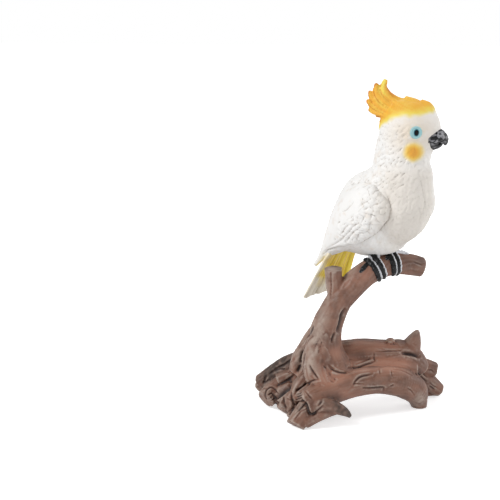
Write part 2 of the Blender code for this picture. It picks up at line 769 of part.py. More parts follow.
def crack_lines():
    """Cracks in the driftwood, as (points, depth share)."""
    cracks = [
        ([(-0.117, -0.134, 1.29), (-0.092, -0.137, 1.13), (-0.012, -0.093, 0.97)], 1.3),
        ([(0.029, -0.132, 0.80), (0.043, -0.089, 0.95), (0.102, -0.050, 0.97)], 1.1),
        ([(0.168, 0.052, 1.02), (0.230, 0.151, 1.08), (0.347, 0.239, 1.15)], 1.5),
        ([(-0.193, -0.093, 1.64), (-0.231, -0.114, 1.34), (-0.264, -0.020, 1.03)], 1.3),
        ([(-0.229, -0.119, 0.75), (-0.197, -0.229, 0.76), (-0.185, -0.275, 0.68)], 1.2),
        ([(0.025, -0.143, 0.66), (0.094, -0.104, 0.64), (0.174, -0.058, 0.62)], 0.9),
        ([(-0.025, 0.148, 1.34), (0.061, 0.190, 1.38), (0.234, 0.187, 1.27)], 0.9),
        ([(0.011, 0.099, 1.23), (0.112, 0.138, 1.26), (0.214, 0.160, 1.20)], 1.2),
        ([(0.006, 0.102, 1.26), (0.002, 0.058, 1.12), (-0.037, -0.084, 1.19)], 1.1),
        ([(-0.047, -0.067, 2.27), (-0.061, -0.074, 2.04), (-0.094, -0.117, 1.66)], 1.1),
        ([(-0.116, -0.088, 2.13), (-0.158, -0.116, 1.69), (-0.181, -0.134, 1.45)], 0.9),
    ]
    return [([base_point(*point) for point in line], share) for line, share in cracks]


def carve(mesh, zone_of):
    """Press the cracks into the fused wood by moving its surface inwards."""
    shape = bmesh.new()
    shape.from_mesh(mesh)
    shape.normal_update()
    moves = {}
    for points, share in crack_lines():
        rows = smooth_stations(points, 10)
        tree = KDTree(len(rows))
        for i, row in enumerate(rows):
            tree.insert(row, i)
        tree.balance()
        for vertex in shape.verts:
            _, index, distance = tree.find(vertex.co)
            reach = 2.2 * CRACK_WIDTH
            if distance > reach or zone_of(vertex.co) != "wood_brown":
                continue
            ends = math.sin(math.pi * (index + 0.5) / len(rows))
            fall = math.exp(-((distance / CRACK_WIDTH) ** 2))
            depth = CRACK_DEPTH * share * ends * fall
            moves[vertex] = max(moves.get(vertex, 0.0), depth)
    for vertex, depth in moves.items():
        vertex.co -= vertex.normal * depth
    shape.to_mesh(mesh)
    shape.free()


def zone_finder(forms):
    """Function that tells which painted zone lies nearest to a point of the surface."""
    samples = []
    for form in forms.objects:
        samples += [(vertex.co.copy(), form["zone"]) for vertex in form.data.vertices]
    tree = KDTree(len(samples))
    for i, (place, _) in enumerate(samples):
        tree.insert(place, i)
    tree.balance()
    return lambda place: samples[tree.find(place)[1]][1]


def fuse(forms, name):
    """Cast all forms as one skin, then rub it smooth as a mould does."""
    shape = bmesh.new()
    for form in forms.objects:
        shape.from_mesh(form.data)
    mesh = bpy.data.meshes.new(name)
    shape.to_mesh(mesh)
    shape.free()
    casting = bpy.data.objects.new(name, mesh)
    bpy.context.scene.collection.objects.link(casting)
    skin = casting.modifiers.new("one_skin", "REMESH")
    skin.mode = "VOXEL"
    skin.voxel_size = MOULD_DETAIL
    rub = casting.modifiers.new("mould_softness", "SMOOTH")
    rub.factor = 0.5
    rub.iterations = SMOOTHING_PASSES
    graph = bpy.context.evaluated_depsgraph_get()
    fused = bpy.data.meshes.new_from_object(casting.evaluated_get(graph))
    casting.modifiers.clear()
    casting.data = fused
    return casting


def guard_fine_forms(casting, zone_of):
    """Mark the painted spots, and all the fine forms, so that they keep their faces."""
    spots = ("eye_ring_blue", "cheek_orange")
    guarded = {"spots": spots, "fine_forms": (*spots, "beak_black", "foot_black")}
    zones = [zone_of(vertex.co) for vertex in casting.data.vertices]
    for name, kept in guarded.items():
        group = casting.vertex_groups.new(name=name)
        group.add([i for i, zone in enumerate(zones) if zone in kept], 1.0, "REPLACE")


def facet_and_level(casting, cutters):
    """Reduce the skin to the face limit and cut its feet flat at the ground."""
    triangles = sum(len(face.vertices) - 2 for face in casting.data.polygons)
    for guard, limit in (("spots", ROUGH_FACE_LIMIT), ("fine_forms", FACE_LIMIT)):
        thin = casting.modifiers.new(f"thin_around_{guard}", "DECIMATE")
        thin.ratio = min(1.0, limit / triangles)
        thin.vertex_group = guard
        thin.invert_vertex_group = True
        thin.use_collapse_triangulate = True
        triangles = limit
    mesh = bpy.data.meshes.new("ground")
    shape = bmesh.new()
    depth = 0.04
    block = Matrix.Translation((0.0, 0.0, -0.5 * depth)) @ Matrix.Diagonal((0.4, 0.4, depth, 1.0))
    bmesh.ops.create_cube(shape, size=1.0, matrix=block)
    shape.to_mesh(mesh)
    shape.free()
    ground = bpy.data.objects.new("ground", mesh)
    cutters.objects.link(ground)
    ground.hide_render = True
    ground.display_type = "WIRE"
    level = casting.modifiers.new("level_feet", "BOOLEAN")
    level.operation = "DIFFERENCE"
    level.object = ground


def apply_modifiers(thing):
    """Replace an object's mesh by its evaluated one."""
    bpy.context.view_layer.update()
    graph = bpy.context.evaluated_depsgraph_get()
    mesh = bpy.data.meshes.new_from_object(thing.evaluated_get(graph))
    thing.modifiers.clear()
    thing.data = mesh


def centre_on_footprint(thing):
    """Put the origin below the middle of the figurine."""
    corners = [vertex.co for vertex in thing.data.vertices]
    middle = [0.5 * (min(c[i] for c in corners) + max(c[i] for c in corners)) for i in (0, 1)]
    shift = Vector((-middle[0], -middle[1], 0.0))
    thing.data.transform(Matrix.Translation(shift))
    return shift


def painted_zone(place, zone_of):
    """The paint at a point: that of its form, or crest colour on the crown of the head."""
    zone = zone_of(place)
    if zone != "plumage_white":
        return zone
    return "crest_yellow" if place.z > head_frame().origin.z + CROWN_LINE else zone


def score_crown_line(thing):
    """Add an edge round the head where the crest paint ends."""
    shape = bmesh.new()
    shape.from_mesh(thing.data)
    height = head_frame().origin.z + CROWN_LINE
    everything = [*shape.verts, *shape.edges, *shape.faces]
    bmesh.ops.bisect_plane(shape, geom=everything, plane_co=UP * height, plane_no=UP, dist=0.0)
    bmesh.ops.triangulate(shape, faces=shape.faces)
    shape.to_mesh(thing.data)
    shape.free()


def paint(thing, zone_of, shift):
    """Give every face the paint of its zone."""
    names = list(PAINTS)
    thing.data.materials.clear()
    for name in names:
        thing.data.materials.append(make_paint(name))
    for face in thing.data.polygons:
        face.material_index = names.index(painted_zone(face.center - shift, zone_of))
    thing.data.shade_smooth()
    thing.data.set_sharp_from_angle(angle=math.radians(50.0))


def main():
    """Model every form, cast them as one solid and paint it."""
    clear_scene()
    figurine = bpy.data.collections.new("cockatoo_figurine")
    forms = bpy.data.collections.new("forms")
    cutters = bpy.data.collections.new("cutters")
    for collection in (figurine, forms, cutters):
        bpy.context.scene.collection.children.link(collection)
    build_upper_driftwood(forms)
    build_logs(forms)
    build_sticks(forms)
    build_body(forms)
    build_head(forms)
    build_crest(forms)
    for sign in (-1, 1):
        build_wing(sign, forms)
    build_tail(forms)
    build_feet(forms)
    zone_of = zone_finder(forms)
    casting = fuse(forms, "cockatoo_on_driftwood")
    carve(casting.data, zone_of)
    guard_fine_forms(casting, zone_of)
    facet_and_level(casting, cutters)
    apply_modifiers(casting)
    score_crown_line(casting)
    shift = centre_on_footprint(casting)
    paint(casting, zone_of, shift)
    bpy.context.scene.collection.objects.unlink(casting)
    figurine.objects.link(casting)
    for form in list(forms.objects):
        bpy.data.objects.remove(form)
    for cutter in list(cutters.objects):
        bpy.data.objects.remove(cutter)


main()
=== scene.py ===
"""Painted resin figurine of a crested white parrot on driftwood, dressed for a studio picture.

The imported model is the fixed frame. Every piece below is sculpted in its place in millimetres, in
the sculptor's frame (the viewer looks along +Y), and moved to the model's frame when it is done.
"""

import logging
import math
import random
from collections.abc import Iterable, Iterator
from contextlib import contextmanager
from dataclasses import dataclass
from enum import Enum

import bmesh
import bpy
import numpy as np
from mathutils import Euler, Matrix, Vector, noise
from mathutils.kdtree import KDTree


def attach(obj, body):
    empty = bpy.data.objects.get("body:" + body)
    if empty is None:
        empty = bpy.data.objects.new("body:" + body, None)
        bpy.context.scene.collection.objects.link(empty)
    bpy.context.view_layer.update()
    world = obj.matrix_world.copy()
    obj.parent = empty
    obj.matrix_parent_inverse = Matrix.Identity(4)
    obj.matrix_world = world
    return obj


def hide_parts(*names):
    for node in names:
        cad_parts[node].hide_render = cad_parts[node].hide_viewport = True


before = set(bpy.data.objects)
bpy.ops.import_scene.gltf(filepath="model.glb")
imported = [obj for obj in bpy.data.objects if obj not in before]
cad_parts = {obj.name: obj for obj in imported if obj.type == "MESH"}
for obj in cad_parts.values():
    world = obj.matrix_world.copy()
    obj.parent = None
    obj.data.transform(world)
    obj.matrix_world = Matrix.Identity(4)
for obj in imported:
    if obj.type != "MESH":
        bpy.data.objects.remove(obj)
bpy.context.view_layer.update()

LOG = logging.getLogger("figurine")
NODE = "cockatoo_on_driftwood"
MM = 0.001
TO_MODEL = Vector((-0.334, -10.247, 0.0))
SQUARE_REACH = 0.88  # distance of a square section's sides, as a share of its radius
ACRYLIC_IOR = 1.49
MIX_A, MIX_B, MIX_RESULT = 6, 7, 2  # sockets of the Mix node that carry colours
UP = Vector((0.0, 0.0, 1.0))
Piece = bpy.types.Object
Socket = bpy.types.NodeSocket
Line = tuple[tuple[float, ...], ...]


# Shared tools


class Side(Enum):
    """The two sides of the bird, as the sign of its leftward direction."""

    RIGHT = -1
    LEFT = 1


@dataclass(frozen=True)
class Axes:
    """A set of directions that turns with the bird's body or head.

    Attributes:
        origin: place of the origin, in millimetres.
        turn: angle in degrees that the forward direction is turned towards the viewer.
    """

    origin: Vector
    turn: float

    @property
    def forward(self) -> Vector:
        """Direction in which the bird faces."""
        angle = math.radians(self.turn)
        return Vector((math.cos(angle), -math.sin(angle), 0.0))

    @property
    def left(self) -> Vector:
        """Direction of the bird's left side."""
        angle = math.radians(self.turn)
        return Vector((math.sin(angle), math.cos(angle), 0.0))

    def at(self, forward: float, left: float, up: float) -> Vector:
        """Point at three distances from the origin."""
        return self.origin + self.forward * forward + self.left * left + UP * up

    def local(self, point: Vector) -> Vector:
        """Forward, left and up distances of a point."""
        offset = point - self.origin
        return Vector((offset.dot(self.forward), offset.dot(self.left), offset.z))

    def rows(self, places: np.ndarray) -> np.ndarray:
        """Forward, left and up distances of many points, one row for each."""
        return np.array([list(self.local(Vector(place))) for place in places])

    def matrix(self) -> Matrix:
        """Placement of something modelled in these directions.

        Returns:
            The matrix from these directions to the sculptor's frame.
        """
        placed = Matrix((self.forward, self.left, UP)).transposed().to_4x4()
        placed.translation = self.origin
        return placed


BODY = Axes(Vector((19.98, 12.39, 91.15)), 36.0)
HEAD = Axes(BODY.at(13.8, 0.0, 80.2), 8.0)


def pick(*pieces: Piece) -> None:
    """Select these pieces alone, in object mode, with the first one active.

    Args:
        pieces: the pieces, none to select nothing.
    """
    if bpy.context.object and bpy.context.object.mode != "OBJECT":
        bpy.ops.object.mode_set(mode="OBJECT")
    bpy.ops.object.select_all(action="DESELECT")
    for piece in pieces:
        piece.select_set(True)
    if pieces:
        bpy.context.view_layer.objects.active = pieces[0]


@contextmanager
def editing(piece: Piece) -> Iterator[None]:
    """Work on one piece in edit mode, then go back to object mode.

    Args:
        piece: the piece to work on.

    Yields:
        Nothing, while the piece is in edit mode.
    """
    pick(piece)
    bpy.ops.object.mode_set(mode="EDIT")
    yield
    bpy.ops.object.mode_set(mode="OBJECT")


def tree_of(places: Iterable) -> KDTree:
    """Make a search tree over places.

    Args:
        places: points of three coordinates.

    Returns:
        The balanced tree, with the points' numbers.
    """
    places = list(places)
    tree = KDTree(len(places))
    for i, place in enumerate(places):
        tree.insert(place, i)
    tree.balance()
    return tree


def noise_at(places: np.ndarray, scale: float, shift: tuple = (0.0, 0.0, 0.0)) -> np.ndarray:
    """Noise at each place, with blotches about 1 / scale millimetres wide."""
    return np.array([noise.noise(Vector(p) * scale + Vector(shift)) for p in places])


def unit(values: np.ndarray) -> np.ndarray:
    """Hold values between 0 and 1."""
    return np.clip(values, 0.0, 1.0)


def curve_through(stations: list[tuple[float, ...]], steps: int) -> list[tuple[float, ...]]:
    """Put rows between stations on a smooth curve through all of them.

    Args:
        stations: tuples of equal length, such as position and radii.
        steps: rows for each stretch between two stations.

    Returns:
        The stations with the rows between them.
    """
    padded = [stations[0], *stations, stations[-1]]
    rows = []
    for i in range(1, len(padded) - 2):
        p, q, r, s = (np.array(padded[k]) for k in range(i - 1, i + 3))
        for t in np.arange(steps) / steps:
            bend = (2 * p - 5 * q + 4 * r - s) * t**2 + (3 * q - p - 3 * r + s) * t**3
            rows.append(tuple(0.5 * (2 * q + (r - p) * t + bend)))
    rows.append(tuple(stations[-1]))
    return rows


def sweep(
    name: str,
    stations: list[tuple[float, ...]],
    side: Vector,
    steps: int = 4,
    sides: int = 32,
    square: float = 0.0,
) -> Piece:
    """Model a closed limb by extruding a circle from station to station.

    Args:
        name: name of the new object.
        stations: (x, y, z, half width along side, half height across it) in millimetres.
        side: direction that the sections' width follows.
        steps: rings for each stretch between two stations.
        sides: points round each ring.
        square: from 0 for round sections to 1 for square ones.

    Returns:
        The closed limb, with its faces outwards.
    """
    rows = curve_through(stations, steps)
    centres = [Vector(row[:3]) for row in rows]
    pick()
    bpy.ops.mesh.primitive_circle_add(vertices=sides, radius=1.0, fill_type="NGON")
    limb = bpy.context.object
    limb.name = name
    with editing(limb):
        for i, row in enumerate(rows):
            if i:
                bpy.ops.mesh.extrude_region_move()
            shape = bmesh.from_edit_mesh(limb.data)
            ring = next(face for face in shape.faces if face.select)
            along = centres[min(i + 1, len(rows) - 1)] - centres[max(i - 1, 0)]
            up = along.normalized().cross(side).normalized()
            across = up.cross(along.normalized()).normalized()
            for k, vertex in enumerate(ring.verts):
                angle = 2 * math.pi * k / sides
                corner = SQUARE_REACH / max(abs(math.cos(angle)), abs(math.sin(angle)))
                reach = across * (math.cos(angle) * row[3]) + up * (math.sin(angle) * row[4])
                vertex.co = centres[i] + reach * (1.0 + square * (corner - 1.0))
        bpy.ops.mesh.select_all(action="SELECT")
        bpy.ops.mesh.normals_make_consistent(inside=False)
    return limb


def ball(
    name: str, radii: tuple[float, float, float], placement: Matrix, sides: int = 32
) -> Piece:
    """Model a ball stretched to three radii, in millimetres, at a placement.

    Args:
        name: name of the new object.
        radii: the three radii.
        placement: matrix that turns and places it.
        sides: faces round it.

    Returns:
        The ball.
    """
    pick()
    bpy.ops.mesh.primitive_uv_sphere_add(segments=sides, ring_count=sides // 2, radius=1.0)
    piece = bpy.context.object
    piece.name = name
    piece.data.transform(placement @ Matrix.Diagonal((*radii, 1.0)))
    return piece


def apply_modifier(piece: Piece, kind: str, **settings: object) -> None:
    """Add a modifier with its settings and apply it.

    Args:
        piece: the piece to change.
        kind: the modifier's type, such as REMESH.
        settings: the modifier's own options.
    """
    pick(piece)
    modifier = piece.modifiers.new(kind.title(), kind)
    for key, value in settings.items():
        setattr(modifier, key, value)
    bpy.ops.object.modifier_apply(modifier=modifier.name)


def fuse(name: str, forms: list[Piece], grit: float, softening: int) -> Piece:
    """Join closed forms and make one continuous skin of them.

    Args:
        name: name of the fused piece.
        forms: closed objects that overlap.
        grit: size of the skin's faces in millimetres.
        softening: times that the skin is rubbed smooth.

    Returns:
        The fused piece.
    """
    pick(*forms)
    bpy.ops.object.join()
    piece = bpy.context.object
    piece.name = name
    piece.data.name = name
    apply_modifier(piece, "REMESH", mode="VOXEL", voxel_size=grit)
    apply_modifier(piece, "SMOOTH", factor=0.5, iterations=softening)
    return piece


def read_rows(items: object, key: str, width: int, kind: type = float) -> np.ndarray:
    """Read a property of all vertices or edges as an array with one row for each.

    Args:
        items: the mesh's vertices or edges.
        key: name of the property.
        width: numbers in each row.
        kind: float or an integer type.

    Returns:
        The rows.
    """
    values = np.empty(len(items) * width, dtype=kind)
    items.foreach_get(key, values)
    return values.reshape(-1, width)


class Skin:
    """The surface of a fused piece as arrays, for carving and for paint."""

    def __init__(self, piece: Piece) -> None:
        """Read the surface of a piece, which is still in millimetres.

        Args:
            piece: the fused piece.
        """
        self.mesh = piece.data
        self.places = read_rows(self.mesh.vertices, "co", 3)
        self.normals = read_rows(self.mesh.vertices, "normal", 3)
        self.edges = read_rows(self.mesh.edges, "vertices", 2, np.int64)
        self.tree = tree_of(self.places)

    def blurred(self, values: np.ndarray, passes: int) -> np.ndarray:
        """Average values with their neighbours a number of times.

        Args:
            values: one number or one row for each point.
            passes: how many times.

        Returns:
            The averaged values, in the same order.
        """
        a, b = self.edges[:, 0], self.edges[:, 1]
        count = len(self.places)
        links = np.bincount(a, minlength=count) + np.bincount(b, minlength=count)
        values = values.reshape(count, -1)
        for _ in range(passes):
            spread = np.empty_like(values)
            for k in range(values.shape[1]):
                spread[:, k] = np.bincount(a, values[b, k], count)
                spread[:, k] += np.bincount(b, values[a, k], count)
            values = 0.5 * values + 0.5 * spread / links[:, None]
        return values.squeeze()

    def push(self, heights: np.ndarray) -> None:
        """Move each point out by its height in millimetres.

        Args:
            heights: one height for each point.
        """
        self.places = self.places + self.normals * heights[:, None]
        self.mesh.vertices.foreach_set("co", self.places.ravel())
        self.mesh.update()
        self.normals = read_rows(self.mesh.vertices, "normal", 3)

    def hollows(self, passes: int, depth: float) -> np.ndarray:
        """How far each point lies below its surroundings, from -1 on ridges to 1 in hollows."""
        offset = self.blurred(self.places, passes) - self.places
        return np.clip(np.einsum("ij,ij->i", offset, self.normals) / depth, -1.0, 1.0)

    def near(self, centre: Vector, reach: float) -> np.ndarray:
        """Numbers of the points within reach of a place."""
        return np.array([hit[1] for hit in self.tree.find_range(centre, reach)], dtype=np.int64)

    def paint(self, name: str, values: np.ndarray) -> None:
        """Store one value for each point, for a material to read."""
        attribute = self.mesh.attributes.new(name, "FLOAT", "POINT")
        attribute.data.foreach_set("value", np.ascontiguousarray(values, dtype=np.float32))


def line_field(places: np.ndarray, lines: Iterable[Line], width: float) -> np.ndarray:
    """How close each place is to drawn lines, which taper towards both ends.

    Args:
        places: one row of coordinates for each point, in millimetres.
        lines: smooth lines through points with as many coordinates.
        width: distance at which the value has fallen to about a third.

    Returns:
        Values from 1 on a line to 0 away from all lines.
    """
    closeness = np.zeros(len(places))
    for line in lines:
        rows = np.array(curve_through(list(line), 12))
        low, high = rows.min(axis=0) - 3.0 * width, rows.max(axis=0) + 3.0 * width
        index = np.flatnonzero(np.all((places > low) & (places < high), axis=1))
        if not len(index):
            continue
        gaps = np.linalg.norm(places[index, None, :] - rows[None, :, :], axis=2)
        taper = np.sin(np.pi * np.linspace(0.08, 0.92, len(rows))) ** 0.5
        value = taper[gaps.argmin(axis=1)] * np.exp(-((gaps.min(axis=1) / width) ** 2))
        closeness[index] = np.maximum(closeness[index], value)
    return closeness


def inside(places: np.ndarray, outline: Line) -> np.ndarray:
    """Which of the places, given by two coordinates, lie inside a closed outline.

    Args:
        places: one row of two coordinates for each point.
        outline: its corners in order.

    Returns:
        True for each point that lies inside.
    """
    x, y = places.T
    within = np.zeros(len(places), dtype=bool)
    for (x0, y0), (x1, y1) in zip(outline, (*outline[1:], outline[0])):
        if y0 != y1:
            crossing = (y > min(y0, y1)) & (y <= max(y0, y1))
            within ^= crossing & (x < x0 + (y - y0) * (x1 - x0) / (y1 - y0))
    return within


def dashes(
    seed: int,
    count: int,
    box: tuple[float, float, float, float],
    heading: float,
    spread: float,
    length: float,
) -> list[Line]:
    """Scatter short brush strokes in a box.

    Args:
        seed: number that fixes the scatter.
        count: number of strokes.
        box: least and greatest first coordinate, then least and greatest second one.
        heading: direction of the strokes in degrees.
        spread: greatest turn away from that direction in degrees.
        length: mean length in millimetres.

    Returns:
        Slightly bent lines of three points.
    """
    dice = random.Random(seed)
    lines = []
    for _ in range(count):
        x, y = dice.uniform(*box[:2]), dice.uniform(*box[2:])
        angle = math.radians(heading + spread * dice.uniform(-1, 1))
        half = 0.5 * length * dice.uniform(0.6, 1.4)
        step = (half * math.cos(angle), half * math.sin(angle))
        bend = 0.22 * half * dice.uniform(-1, 1)
        middle = (x - bend * math.sin(angle), y + bend * math.cos(angle))
        lines.append(((x - step[0], y - step[1]), middle, (x + step[0], y + step[1])))
    return lines


@dataclass(frozen=True)
class Feather:
    """One feather's relief: an overlapping shingle with a rounded tip.

    Attributes:
        centre: place of its middle.
        along: direction from root to tip.
        length: length in millimetres.
        width: width in millimetres.
        height: how far its tip stands proud, in millimetres.
    """

    centre: Vector
    along: Vector
    length: float
    width: float
    height: float


@dataclass(frozen=True)
class Coat:
    """How the feathers lie on one part of the bird, in millimetres.

    Attributes:
        spacing: distance between two feathers.
        length: mean length of one.
        width: mean width of one.
        height: how far its tip stands proud.
        spread: how far it strays from the common direction, as a share of it.
    """

    spacing: float
    length: float
    width: float
    height: float
    spread: float = 0.4

    def cell(self, place: Vector) -> tuple[int, ...]:
        """Cell of the grid that has room for one feather."""
        return tuple(int(c // self.spacing) for c in place)

    def feather(self, place: Vector, along: Vector, scale: float) -> Feather:
        """One feather of this coat, larger or smaller by a scale."""
        return Feather(place, along, self.length * scale, self.width * scale, self.height)


NAPE_COAT = Coat(2.6, 5.0, 2.4, 0.56, 0.55)
FACE_COAT = Coat(1.6, 2.6, 1.0, 0.17)
BODY_COAT = Coat(2.2, 4.2, 1.8, 0.36)
WING_COAT = Coat(3.0, 4.4, 3.3, 0.85)


def feather_relief(skin: Skin, feathers: list[Feather]) -> np.ndarray:
    """Height of a coat of feathers over each point of a skin.

    Args:
        skin: the surface that carries them.
        feathers: the feathers, in any order.

    Returns:
        Heights in millimetres, 0 where no feather lies.
    """
    relief = np.zeros(len(skin.places))
    for feather in feathers:
        index = skin.near(feather.centre, 0.55 * feather.length + 0.6)
        if not len(index):
            continue
        nearest = skin.tree.find(feather.centre)[1]
        normal = Vector(skin.normals[nearest])
        along = (feather.along - normal * feather.along.dot(normal)).normalized()
        across = normal.cross(along)
        offset = skin.places[index] - np.array(feather.centre)
        down = offset @ np.array(along)
        side = offset @ np.array(across) / (0.5 * feather.width)
        facing = skin.normals[index] @ np.array(normal) > 0.25
        tip = 0.5 * feather.length * np.sqrt(np.clip(1.0 - side**2, 0.0001, 1.0))
        share = down / tip
        covered = facing & (np.abs(side) < 1.0) & (np.abs(share) < 1.0)
        height = feather.height * ((share + 1.0) * 0.5) ** 1.3 * (1.0 - 0.45 * side**2)
        relief[index] = np.where(covered, np.maximum(relief[index], height), relief[index])
    return relief


def finish_piece(piece: Piece, material: bpy.types.Material) -> None:
    """Move a piece to the model's frame, dress it and fasten it to the model.

    Args:
        piece: the piece, still in millimetres.
        material: its finish.
    """
    piece.data.transform(Matrix.Scale(MM, 4) @ Matrix.Translation(TO_MODEL))
    piece.data.materials.clear()
    piece.data.materials.append(material)
    piece.data.shade_smooth()
    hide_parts(NODE)
    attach(piece, "root")
    LOG.info("%s: %d faces", piece.name, len(piece.data.polygons))


# Finishes


def linear(hex_colour: str) -> tuple[float, float, float, float]:
    """Turn an sRGB hex colour such as #7A5A4C to linear red, green, blue and alpha.

    Args:
        hex_colour: the colour, with its leading #.

    Returns:
        The four linear levels.
    """
    levels = [int(hex_colour[i : i + 2], 16) / 255 for i in (1, 3, 5)]
    parts = [c / 12.92 if c <= 0.04045 else ((c + 0.055) / 1.055) ** 2.4 for c in levels]
    return (*parts, 1.0)


def add_node(
    tree: bpy.types.NodeTree, kind: str, links: dict | None = None, **settings: object
) -> bpy.types.Node:
    """Add a node with its settings and links.

    Args:
        tree: the material's or world's node tree.
        kind: the node's type, such as ShaderNodeMix.
        links: socket name or number to a value, or to an output socket that feeds it.
        settings: the node's own options.

    Returns:
        The new node.
    """
    node = tree.nodes.new(kind)
    for key, value in settings.items():
        setattr(node, key, value)
    for key, value in (links or {}).items():
        socket = node.inputs[key]
        if isinstance(value, Socket):
            tree.links.new(value, socket)
        else:
            socket.default_value = value
    return node


@dataclass(frozen=True)
class Palette:
    """The node tree of one material, in which its colours are mixed."""

    tree: bpy.types.NodeTree

    def noise(self, size: float, detail: float = 3.0) -> Socket:
        """Noise whose blotches are about size millimetres wide, fixed to the piece.

        Args:
            size: width of a blotch.
            detail: number of finer octaves.

        Returns:
            The noise.
        """
        place = add_node(self.tree, "ShaderNodeTexCoord").outputs["Object"]
        links = {"Vector": place, "Scale": 1.0 / (size * MM), "Detail": detail}
        return add_node(self.tree, "ShaderNodeTexNoise", links).outputs["Fac"]

    def attribute(self, name: str) -> Socket:
        """Read one of the values that Skin.paint stored."""
        return add_node(self.tree, "ShaderNodeAttribute", attribute_name=name).outputs["Fac"]

    def mask(self, value: Socket, low: float, high: float) -> Socket:
        """Turn a value into a soft mask that rises from 0 at low to 1 at high.

        Args:
            value: what the mask is made of.
            low: where it starts to rise.
            high: where it is full.

        Returns:
            The mask.
        """
        links = {"Value": value, "From Min": low, "From Max": high}
        node = add_node(self.tree, "ShaderNodeMapRange", links, interpolation_type="SMOOTHSTEP")
        return node.outputs["Result"]

    def math(self, kind: str, first: object, second: object) -> Socket:
        """Combine two values, each a number or a socket, by a kind such as MULTIPLY."""
        return add_node(self.tree, "ShaderNodeMath", {0: first, 1: second}, operation=kind).outputs[0]

    def mix(self, share: object, low: object, high: object) -> Socket:
        """Mix two colours, each a hex value or a socket, by a share.

        Args:
            share: how much of the second colour shows.
            low: the first colour.
            high: the second colour.

        Returns:
            The mixed colour.
        """
        links = {0: share}
        for key, colour in ((MIX_A, low), (MIX_B, high)):
            links[key] = linear(colour) if isinstance(colour, str) else colour
        return add_node(self.tree, "ShaderNodeMix", links, data_type="RGBA").outputs[MIX_RESULT]


@dataclass(frozen=True)
class PaintedResin:
    """Acrylic paint brushed over cast polyester resin: the base of every finish here.

    Attributes:
        name: name of the material.
        roughness: from 0, glossy, to 1, matte. Brushed acrylic is about 0.5.
        brush_depth: height of the brush marks in millimetres, 0 for enamel, which shows none.
        brush_width: width of one brush mark in millimetres.
        specular: strength of the shine, 0.5 for clean paint and less for dusty paint.
    """

    name: str
    roughness: float = 0.5
    brush_depth: float = 0.05
    brush_width: float = 0.8
    specular: float = 0.5

    def colour(self, palette: Palette) -> Socket:
        """Mix the colour of the paint, which each finish does in its own way."""
        raise NotImplementedError

    def build(self) -> bpy.types.Material:
        """Make the material, with the shine of acrylic paint and its fine brush marks.

        Returns:
            The material.
        """
        material = bpy.data.materials.new(self.name)
        material.use_nodes = True
        tree = material.node_tree
        palette = Palette(tree)
        inputs = tree.nodes["Principled BSDF"].inputs
        inputs["Roughness"].default_value = self.roughness
        inputs["IOR"].default_value = ACRYLIC_IOR
        inputs["Specular IOR Level"].default_value = self.specular
        tree.links.new(self.colour(palette), inputs["Base Color"])
        if self.brush_depth:
            marks = palette.noise(self.brush_width, 4.0)
            links = {"Height": marks, "Distance": self.brush_depth * MM, "Strength": 1.0}
            bump = add_node(tree, "ShaderNodeBump", links)
            tree.links.new(bump.outputs["Normal"], inputs["Normal"])
        return material


@dataclass(frozen=True)
class PlumagePaint(PaintedResin):
    """White plumage with an airbrushed yellow crest and cheek, as its attributes place them, with painted
    shade in the hollows, the drawn lines, the crest's grooves and on the lower breast, and a painted
    highlight on the first crest feather.
    """

    white: str = "#F1EFEC"
    cream: str = "#E9E2DA"
    shade: str = "#B5ACA2"
    face: str = "#E4D6C4"
    # Grey-beige painted shade on the lower breast.
    breast: str = "#E2DBD2"
    lemon: str = "#EDD65C"
    gold: str = "#EBB03C"
    amber: str = "#CF8426"
    cheek: tuple[str, ...] = ("#F2DEA2", "#EDBF4E", "#E4A238")
    cheek_bands: tuple[tuple[float, float], ...] = ((0.0, 0.45), (0.2, 0.7), (0.55, 1.0))

    def colour(self, palette: Palette) -> Socket:
        """Mix white, with painted shade in the hollows and on the lower breast, and the yellows of crest
        and cheek over it.

        Args:
            palette: the node tree to mix it in.

        Returns:
            The colour.
        """
        mix, mask, value = palette.mix, palette.mask, palette.attribute
        # The breast colour is painted shade on the lower front of the breast.
        colour = mix(value("breast"), mix(value("face"), self.white, self.face), self.breast)
        colour = mix(mask(palette.noise(5.0), 0.50, 0.75), colour, self.cream)
        # Painted shade: the shade colour is laid into the hollows and along the drawn lines.
        painted_shade = mask(value("hollow"), 0.10, 1.0)
        colour = mix(painted_shade, colour, self.shade)
        # Lemon over gold: random streaks, and a painted highlight on the back half of the first crest
        # feather.
        warm = mix(value("streak"), self.gold, self.lemon)
        # Amber on the tips of the back crest feathers is paint; amber in the grooves between the feathers
        # and in the hollows is painted shade.
        warm = mix(mask(value("amber_tips_and_shade"), 0.0, 1.0), warm, self.amber)
        warm = mix(palette.math("MULTIPLY", painted_shade, 0.75), warm, self.amber)
        colour = mix(mask(value("crest"), 0.0, 0.45), colour, self.lemon)
        colour = mix(mask(value("crest"), 0.30, 0.85), colour, warm)
        for yellow, (low, high) in zip(self.cheek, self.cheek_bands):
            colour = mix(mask(value("cheek"), low, high), colour, yellow)
        return colour


@dataclass(frozen=True)
class TailPaint(PaintedResin):
    """Yellow tail that fades to cream at the near edge and at the cut end, with painted shade in its
    grooves.
    """

    yellow: str = "#F2D636"
    deep: str = "#D9B02E"
    cream: str = "#F2EAD6"
    shade: str = "#A08A32"

    def colour(self, palette: Palette) -> Socket:
        """Mix streaked yellow, its fading edges and the painted shade in the grooves.

        Args:
            palette: the node tree to mix it in.

        Returns:
            The colour.
        """
        mix, mask, value = palette.mix, palette.mask, palette.attribute
        colour = mix(mask(value("streak"), 0.2, 0.9), self.yellow, self.deep)
        colour = mix(value("fade"), colour, self.cream)
        return mix(mask(value("hollow"), 0.1, 0.9), colour, self.shade)


